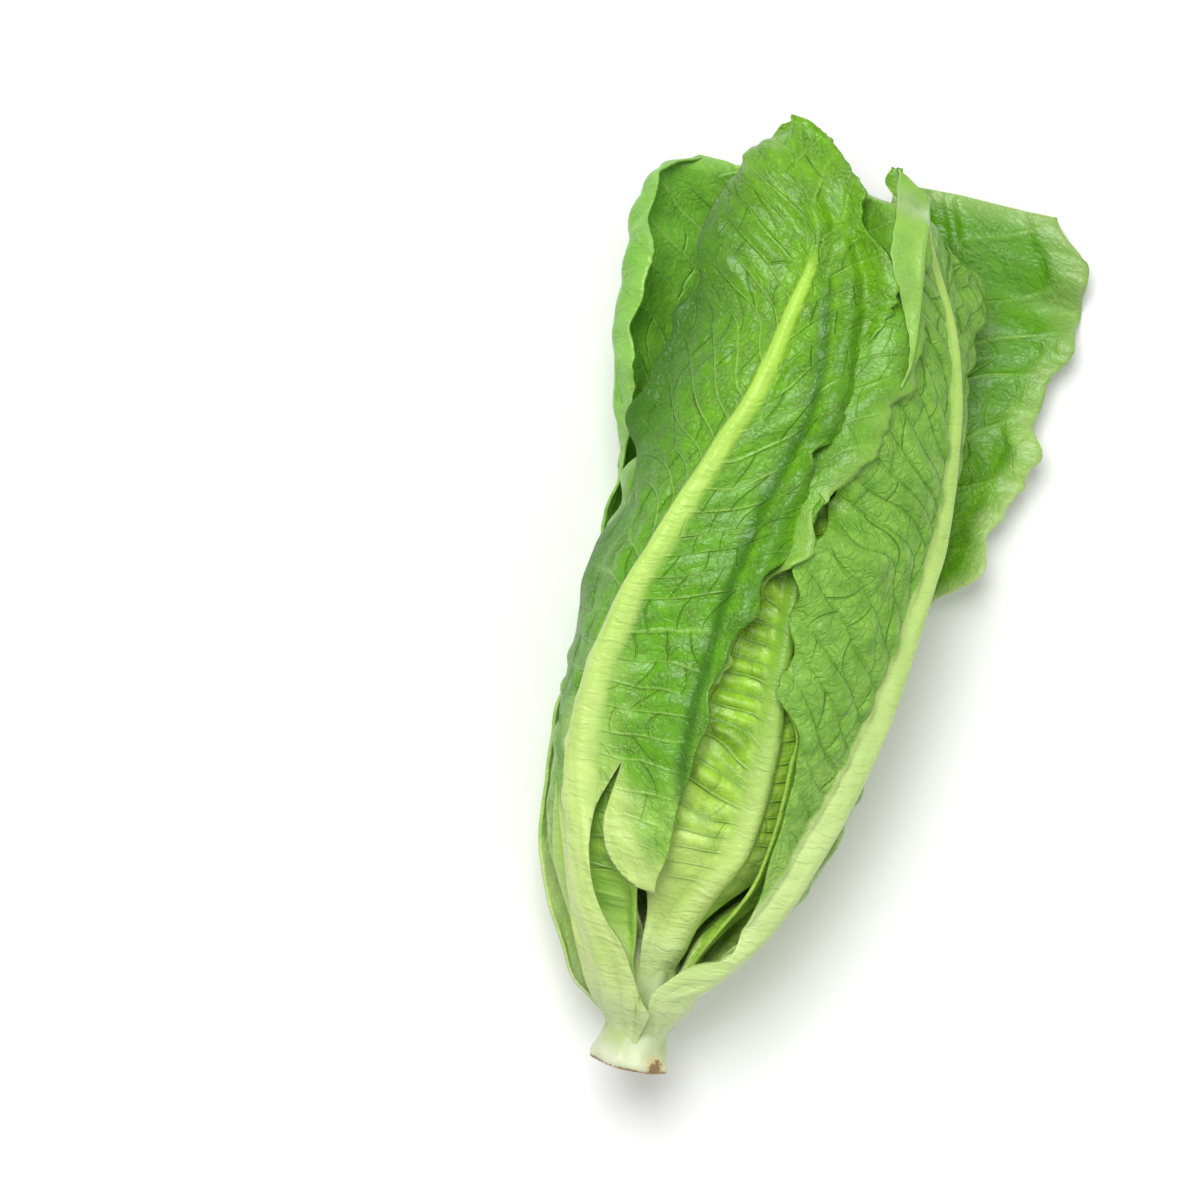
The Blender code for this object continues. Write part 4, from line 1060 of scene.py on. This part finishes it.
def leaf_skin(name, colours, net=1.0, inside=0.0, rise=1.0, root_end=0.2, pale_by=0.75, painted_band_shade_and_highlight=0.0, flank=0.0,
              rim=0.0):
    """Living lettuce leaf. Its waxy skin gives small soft highlights, the veins a quilting, and its thin
    wet flesh lets some light through. Colours run from the base to the tip."""
    low, middle, high, deep, vein, cross, rib_low, rib_high = (hex_colour(code) for code in colours.split())
    made, tree, shader = new_material(name, WAXY_LEAF)
    flat = add(tree, "ShaderNodeUVMap", uv_map="skin")
    mm = add(tree, VECTOR, {0: flat, "Scale": SKIN_SPAN}, operation="SCALE")
    across = add(tree, "ShaderNodeSeparateXYZ", {0: mm})
    share, rib, phase, cell, margin, outside, fold = (
        add(tree, NUMBER, out="Fac", attribute_name=key)
        for key in ("share", "rib", "vein", "cell", "margin", "outside", "fold")
    )
    # Patches about 28 mm across, mottling about 6 mm, and grain of the skin under 1 mm
    patches, mottle, grain = (
        add(tree, NOISE, {"Vector": mm, "Scale": scale, "Detail": detail})
        for scale, detail in ((1 / 28, 2.0), (1 / 6, 4.0), (1.4, 2.0))
    )
    # Cross veins are where the cell is whole, moved on in each strip, and side veins where the phase is.
    # The last distance, off, is that from the middle between two side veins.
    reach = add(tree, RANGE, {0: margin, 1: 0.05, 2: 1.0})
    strip = add(tree, MATH, {0: phase}, operation="FLOOR")
    moved = add(tree, MATH, {0: strip, 1: STRIP_SHIFT, 2: cell}, **TIMES_PLUS)
    veins = []
    for number, start, end in ((moved, 0.465, 0.498), (phase, 0.41, 0.5)):
        part = add(tree, MATH, {0: number}, operation="FRACT")
        off = add(tree, MATH, {0: part, 1: 0.5}, operation="SUBTRACT")
        off = add(tree, MATH, {0: off}, operation="ABSOLUTE")
        line = add(tree, RANGE, {0: off, 1: start, 2: end}, **SMOOTH)
        veins.append(add(tree, MATH, {0: line, 1: reach}, **TIMES))
    cross_vein, side_vein = veins
    # The finest net, about 2.6 mm wide, bent a little
    bend = add(tree, NOISE, {"Vector": mm, "Scale": 1 / 4, "Detail": 2.0}, out="Color")
    bent = add(tree, VECTOR, {0: bend, 1: (5, 5, 0), 2: mm}, **TIMES_PLUS)
    fine = add(tree, "ShaderNodeTexVoronoi", {"Vector": bent, "Scale": 1 / 2.6}, feature="DISTANCE_TO_EDGE")
    fine_line = add(tree, RANGE, {0: fine, 1: 0.02, 2: 0.2, 3: 1.0, 4: 0.0}, **SMOOTH)
    # Colour along the blade and its spots, then painted shade in the hollows along the side veins and a
    # painted highlight on the swells between them
    wander = add(tree, MATH, {0: patches, 1: 0.5}, operation="SUBTRACT")
    wander = add(tree, MATH, {0: wander, 1: 0.45, 2: share}, **TIMES_PLUS)
    lower = add(tree, RANGE, {0: wander, 1: 0.08, 2: 0.4}, **SMOOTH)
    upper = add(tree, RANGE, {0: wander, 1: 0.5, 2: 0.95}, **SMOOTH)
    spots = add(tree, RANGE, {0: mottle, 1: 0.42, 2: 0.68, 4: 0.65})
    # Painted shade in the hollows along the side veins, and a painted highlight on the swells between them
    painted_hollow_shade = add(tree, RANGE, {0: off, 1: 0.22, 2: 0.5, 4: painted_band_shade_and_highlight}, **SMOOTH)
    crest = add(tree, RANGE, {0: off, 1: 0.0, 2: 0.2, 3: painted_band_shade_and_highlight * 0.8, 4: 0.0}, **SMOOTH)
    crest = add(tree, MATH, {0: crest, 1: patches}, **TIMES)
    # The skin's wax whitens it in flecks
    flecks = add(tree, MATH, {0: grain, 1: mottle}, **TIMES)
    flecks = add(tree, RANGE, {0: flecks, 1: 0.26, 2: 0.42, 4: 0.4})
    # Veins show more in some places than in others
    netted = add(tree, MATH, {0: fine_line, 1: 0.22 * net}, **TIMES)
    seen = add(tree, RANGE, {0: patches, 1: 0.35, 2: 0.65, 3: 0.1, 4: 0.5})
    crossed = add(tree, MATH, {0: cross_vein, 1: seen}, **TIMES)
    crossed = add(tree, MATH, {0: crossed, 1: net}, **TIMES)
    veined = add(tree, MATH, {0: side_vein, 1: seen}, **TIMES)
    # Painted shade darkens the tube of the turned-in fold and the valley beside it, painted shade darkens
    # the far flank, and the rim is thin and paler
    painted_fold_shade = add(tree, RANGE, {0: fold, 1: 0.1, 2: 0.9, 4: 0.35})
    painted_gutter_shade = add(tree, RANGE, {0: fold, 1: -0.9, 2: -0.1, 3: 0.75, 4: 0.0})
    # Painted shade on the far flank, which turns away from the light
    far = add(tree, RANGE, {0: across, 1: 160.0, 2: 186.0, 4: flank})
    thin = add(tree, RANGE, {0: margin, 1: 0.0, 2: 0.7, 3: rim, 4: 0.0})
    thin_low = add(tree, RANGE, {0: share, 1: 0.35, 2: 0.8, 3: 1.0, 4: 0.35})
    thin = add(tree, MATH, {0: thin, 1: thin_low}, **TIMES)
    blade = low
    for amount, tint in (
        (lower, middle), (upper, high), (spots, deep), (painted_hollow_shade, deep), (crest, rib_low), (flecks, vein),
        (netted, deep), (crossed, cross), (veined, vein), (painted_fold_shade, deep), (painted_gutter_shade, deep), (far, deep),
        (thin, rib_low),
    ):
        blade = add(tree, MIX, {0: amount, 6: blade, 7: tint}, **COLOURS)
    # The midrib, whose pale flesh spreads out over the leaf's root
    up = add(tree, RANGE, {0: share, 1: 0.1, 2: pale_by})
    foot = add(tree, RANGE, {0: share, 1: 0.0, 2: 0.09, 3: 0.9, 4: 0.0}, **SMOOTH)
    streak_at = add(tree, VECTOR, {0: mm, 1: (0.35, 0.07, 1)}, **TIMES)
    streaks = add(tree, NOISE, {"Vector": streak_at, "Scale": 1.0, "Detail": 3.0})
    streaks = add(tree, RANGE, {0: streaks, 1: 0.4, 2: 0.75, 4: 0.3})
    stalk = rib_low
    for amount, tint in ((up, rib_high), (foot, hex_colour("#c6d69c")), (streaks, middle)):
        stalk = add(tree, MIX, {0: amount, 6: stalk, 7: tint}, **COLOURS)
    soft = add(tree, MATH, {0: mottle, 1: 0.5}, operation="SUBTRACT")
    soft = add(tree, MATH, {0: soft, 1: 0.35, 2: rib}, **TIMES_PLUS)
    on_rib = add(tree, RANGE, {0: soft, 1: 0.1, 2: 0.85}, **SMOOTH)
    # The front leaf's flesh is pale beside its slit only, and green again on both sides of it
    beside = add(tree, RANGE, {0: across, 1: 126.0, 2: 142.0, 3: 0.3 * flank, 4: 0.0})
    far_up = add(tree, MATH, {0: far, 1: 0.25, 2: wander}, **TIMES_PLUS)
    far_up = add(tree, MATH, {0: far_up, 1: beside}, operation="ADD")
    root = add(tree, RANGE, {0: far_up, 1: root_end - 0.2, 2: root_end, 3: 1.0, 4: 0.0}, **SMOOTH)
    on_rib = add(tree, MATH, {0: on_rib, 1: root}, operation="MAXIMUM")
    colour = add(tree, MIX, {0: on_rib, 6: blade, 7: stalk}, **COLOURS)
    within = add(tree, RANGE, {0: outside, 3: inside, 4: 0.0})
    colour = add(tree, MIX, {0: within, 6: colour, 7: deep}, **COLOURS)
    tree.links.new(colour, shader.inputs["Base Color"])
    # The creases of the veins on the blade, and fine wrinkles across the midrib, 1.6 mm apart
    height = add(tree, MATH, {0: fine_line, 1: -0.25 * net}, **TIMES)
    height = add(tree, MATH, {0: cross_vein, 1: -0.8 * net, 2: height}, **TIMES_PLUS)
    height = add(tree, MATH, {0: side_vein, 1: 0.5 * rise, 2: height}, **TIMES_PLUS)
    off_rib = add(tree, MATH, {0: 1.0, 1: on_rib}, operation="SUBTRACT")
    height = add(tree, MATH, {0: height, 1: off_rib}, **TIMES)
    cross_at = add(tree, VECTOR, {0: bent, 1: (0.08, 0.62, 1)}, **TIMES)
    wrinkle = add(tree, NOISE, {"Vector": cross_at, "Scale": 1.0, "Detail": 2.0})
    wrinkled = add(tree, MATH, {0: wrinkle, 1: on_rib}, **TIMES)
    for bumps, amount in ((wrinkled, 0.9), (mottle, 1.5), (grain, 0.15)):
        height = add(tree, MATH, {0: bumps, 1: amount, 2: height}, **TIMES_PLUS)
    bump = add(tree, "ShaderNodeBump", {"Height": height, "Strength": 0.9, "Distance": 0.0008})
    tree.links.new(bump, shader.inputs["Normal"])
    gloss = add(tree, RANGE, {0: mottle, 1: 0.3, 2: 0.7, 3: 0.28, 4: 0.42})
    tree.links.new(gloss, shader.inputs["Roughness"])
    return made


def stem_skin():
    """Cut lettuce stem: wet pale flesh, browned by the air along the cut's rim, with a tan patch beside
    it."""
    made, tree, shader = new_material("cut_stem_flesh", WET_FLESH)
    where = add(tree, "ShaderNodeTexCoord", out="Object")
    height, outside, torn = (
        add(tree, NUMBER, out="Fac", attribute_name=key) for key in ("height", "outside", "torn")
    )
    # Mottling about 6 mm across, broad patches about 18 mm, and speckle under 2 mm
    mottle, broad, speckle = (
        add(tree, NOISE, {"Vector": where, "Scale": scale, "Detail": detail})
        for scale, detail in ((160.0, 4.0), (55.0, 2.0), (700.0, 3.0))
    )
    up = add(tree, MATH, {0: broad, 1: 6.0, 2: height}, **TIMES_PLUS)
    up = add(tree, RANGE, {0: up, 1: 5.0, 2: 13.0}, **SMOOTH)
    pale = add(tree, RANGE, {0: mottle, 1: 0.42, 2: 0.66, 4: 0.5})
    # The torn corner, dried to tan and brown, and the browned rim
    patch = add(tree, MATH, {0: mottle, 1: 1.1, 2: torn}, **TIMES_PLUS)
    patch = add(tree, MATH, {0: speckle, 1: 1.1, 2: patch}, **TIMES_PLUS)
    tan = add(tree, RANGE, {0: patch, 1: 1.45, 2: 1.8}, **SMOOTH)
    brown = add(tree, RANGE, {0: patch, 1: 1.75, 2: 2.05}, **SMOOTH)
    edge = add(tree, MATH, {0: mottle, 1: 3.2, 2: height}, **TIMES_PLUS)
    rim = add(tree, RANGE, {0: edge, 1: 1.7, 2: 2.7, 3: 1.0, 4: 0.0}, **SMOOTH)
    flesh = hex_colour("#ccd5ae")
    for amount, tint in ((up, "#afc47c"), (pale, "#dce1c8"), (tan, "#d6c894"), (brown, "#8f7648"),
                         (rim, "#86683a")):
        flesh = add(tree, MIX, {0: amount, 6: flesh, 7: hex_colour(tint)}, **COLOURS)
    face = add(tree, RANGE, {0: outside, 3: 0.75, 4: 0.0})
    cut = add(tree, MIX, {0: broad, 6: hex_colour("#c9a978"), 7: hex_colour("#efe9cf")}, **COLOURS)
    flesh = add(tree, MIX, {0: face, 6: flesh, 7: cut}, **COLOURS)
    tree.links.new(flesh, shader.inputs["Base Color"])
    bump = add(tree, "ShaderNodeBump", {"Height": mottle, "Strength": 0.5, "Distance": 0.0008})
    tree.links.new(bump, shader.inputs["Normal"])
    return made


def dried_sap():
    """Dried sap and torn stem skin: matt brown, darker in the thin places, where the cut has dried in the
    air."""
    made, tree, shader = new_material("dried_stem_sap", {"Roughness": 0.6})
    where = add(tree, "ShaderNodeTexCoord", out="Object")
    stain = add(tree, NOISE, {"Vector": where, "Scale": 600.0, "Detail": 3.0})
    colour = add(tree, MIX, {0: stain, 6: hex_colour("#7d5c2e"), 7: hex_colour("#b59a62")}, **COLOURS)
    tree.links.new(colour, shader.inputs["Base Color"])
    return made


def ring_tree(name):
    """A node tree that sets flat drops in an uneven ring and joins them into one mesh."""
    tree = bpy.data.node_groups.new(name, "GeometryNodeTree")
    for label, kind in RING_INPUTS:
        tree.interface.new_socket(label, in_out="INPUT", socket_type="NodeSocket" + kind)
    tree.interface.new_socket("Geometry", in_out="OUTPUT", socket_type="NodeSocketGeometry")
    given = tree.nodes.new("NodeGroupInput").outputs
    ring = add(tree, "GeometryNodeMeshCircle", {"Vertices": given["Count"], "Radius": given["Ring radius"]})
    spread = add(tree, VECTOR, {0: (1, 1, 0.2), "Scale": given["Scatter"]}, operation="SCALE")
    back = add(tree, VECTOR, {0: spread, "Scale": -1.0}, operation="SCALE")
    draw = {0: back, 1: spread, "Seed": given["Seed"]}
    moved = add(tree, "FunctionNodeRandomValue", draw, data_type="FLOAT_VECTOR")
    ring = add(tree, "GeometryNodeSetPosition", {"Geometry": ring, "Offset": moved})
    drop = add(tree, "GeometryNodeMeshIcoSphere", {"Radius": given["Drop radius"], "Subdivisions": 2})
    squashed = add(tree, "ShaderNodeCombineXYZ", {"X": 1.0, "Y": 1.0, "Z": given["Flatness"]})
    drop = add(tree, "GeometryNodeTransform", {"Geometry": drop, "Scale": squashed})
    draw = {2: 0.55, 3: 1.35, "Seed": given["Seed"]}
    size = add(tree, "FunctionNodeRandomValue", draw, out=1, data_type="FLOAT")
    set_out = add(tree, "GeometryNodeInstanceOnPoints", {"Points": ring, "Instance": drop, "Scale": size})
    joined = add(tree, "GeometryNodeRealizeInstances", {"Geometry": set_out})
    skinned = add(tree, "GeometryNodeSetMaterial", {"Geometry": joined, "Material": given["Skin"]})
    tree.links.new(skinned, tree.nodes.new("NodeGroupOutput").inputs[0])
    return tree


def ring_of_drops(name, tree, settings, middle):
    """One mesh made by the ring's tree, set at the cut and leaning with it."""
    held = set_in_scene(name, bpy.data.meshes.new(name))
    made = held.modifiers.new("ring", "NODES")
    made.node_group = tree
    for item in tree.interface.items_tree:
        if item.in_out == "INPUT":
            made[item.identifier] = settings[item.name]
    finish_mesh(held)
    held.data.transform(Matrix.Translation(middle) @ Matrix.Rotation(math.pi / 2 + stem_lean(), 4, "X"))
    return held


def skins():
    """The leaves' skins by name."""
    return {key: leaf_skin("lettuce_leaf_" + key, colours, **more) for key, (colours, more) in SKINS.items()}


def studio(shift):
    """A white table, soft light from the upper left, and the camera straight above."""
    scene = bpy.context.scene
    mesh = bmesh.new()
    bmesh.ops.create_grid(mesh, x_segments=1, y_segments=1, size=3.0)
    data = bpy.data.meshes.new("table")
    mesh.to_mesh(data)
    mesh.free()
    table = set_in_scene("table", data)
    table.location.z = -0.0004
    # Matt white paint, which gives the eye nothing but the shadow
    white, tree, shader = new_material("white_table_paint", {"Roughness": 0.7})
    fleck = add(tree, NOISE, {"Scale": 40.0, "Detail": 2.0})
    tone = add(tree, MIX, {0: fleck, 6: hex_colour("#f5f5f4"), 7: hex_colour("#fafaf9")}, **COLOURS)
    tree.links.new(tone, shader.inputs["Base Color"])
    data.materials.append(white)
    for name, place_at, size, power in LIGHTS:
        lamp = bpy.data.lights.new(name, "AREA")
        lamp.size = size
        lamp.energy = power
        held = set_in_scene(name, lamp)
        held.location = place_at
        held.rotation_euler = (Vector((0, 0, 0.03)) - Vector(place_at)).to_track_quat("-Z", "Y").to_euler()
    scene.view_settings.view_transform = "Standard"
    scene.world = bpy.data.worlds.new("studio")
    scene.world.use_nodes = True
    sky = scene.world.node_tree.nodes["Background"]
    sky.inputs[0].default_value = hex_colour("#ffffff")
    sky.inputs[1].default_value = LIT_FROM_ALL_SIDES
    camera = bpy.data.cameras.new("above")
    camera.lens = 36 / (FRAME_WIDTH / CAMERA_AWAY)
    camera.sensor_width = 36
    held = set_in_scene("above", camera)
    across, along = np.array(FRAME_MIDDLE) + shift[:2]
    held.location = (across * MM, along * MM, (CAMERA_AWAY + FRAME_PLANE) * MM)
    held.rotation_euler = (0, 0, math.radians(FRAME_TURN))
    scene.camera = held


def main():
    """Lays the leaves, dresses them and the stem, and sets them on the table."""
    laid = leaves()
    reached = Reached()
    faces = {kept["name"]: lay_leaf(kept, reached) for kept in laid}
    right = np.concatenate([face.reshape(-1, 3) for face in faces["outer_leaf_right"]])
    shift = np.array(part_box("outer_leaf_right")[0]) / MM - right.min(axis=0)
    skin = skins()
    for order, kept in enumerate(laid):
        name = kept["name"]
        piece = closed_sheet(f"{name}_skin", *fine_leaf(kept, laid[order + 1 :], shift))
        piece.data.materials.append(skin[LOOKS[name]["skin"]])
        if name == "outer_leaf_front":
            cut_slit(piece, shift)
        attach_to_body(piece, "root")
        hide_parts(name)
    strip = turned_edge(next(kept for kept in laid if kept["name"] == "outer_leaf_right"), reached, shift)
    strip.data.materials.append(skin["turned_edge"])
    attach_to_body(strip, "root")
    foot = stem_piece(shift)
    foot.data.materials.append(stem_skin())
    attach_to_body(foot, "root")
    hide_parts("stem")
    tree = ring_tree("ring of drops")
    sap = dried_sap()
    for label, count, ring, size, flat, scatter, seed, deep in RINGS:
        settings = {
            "Count": count,
            "Ring radius": ring * STEM_RADIUS[0] * MM,
            "Drop radius": size * MM,
            "Flatness": flat,
            "Scatter": scatter * MM,
            "Seed": seed,
            "Skin": sap,
        }
        middle = Vector((shift[0], shift[1] + deep, shift[2] + axis_at(0.0)[1])) * MM
        drops = ring_of_drops(label, tree, settings, middle)
        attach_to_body(drops, "root")
    studio(shift)


main()
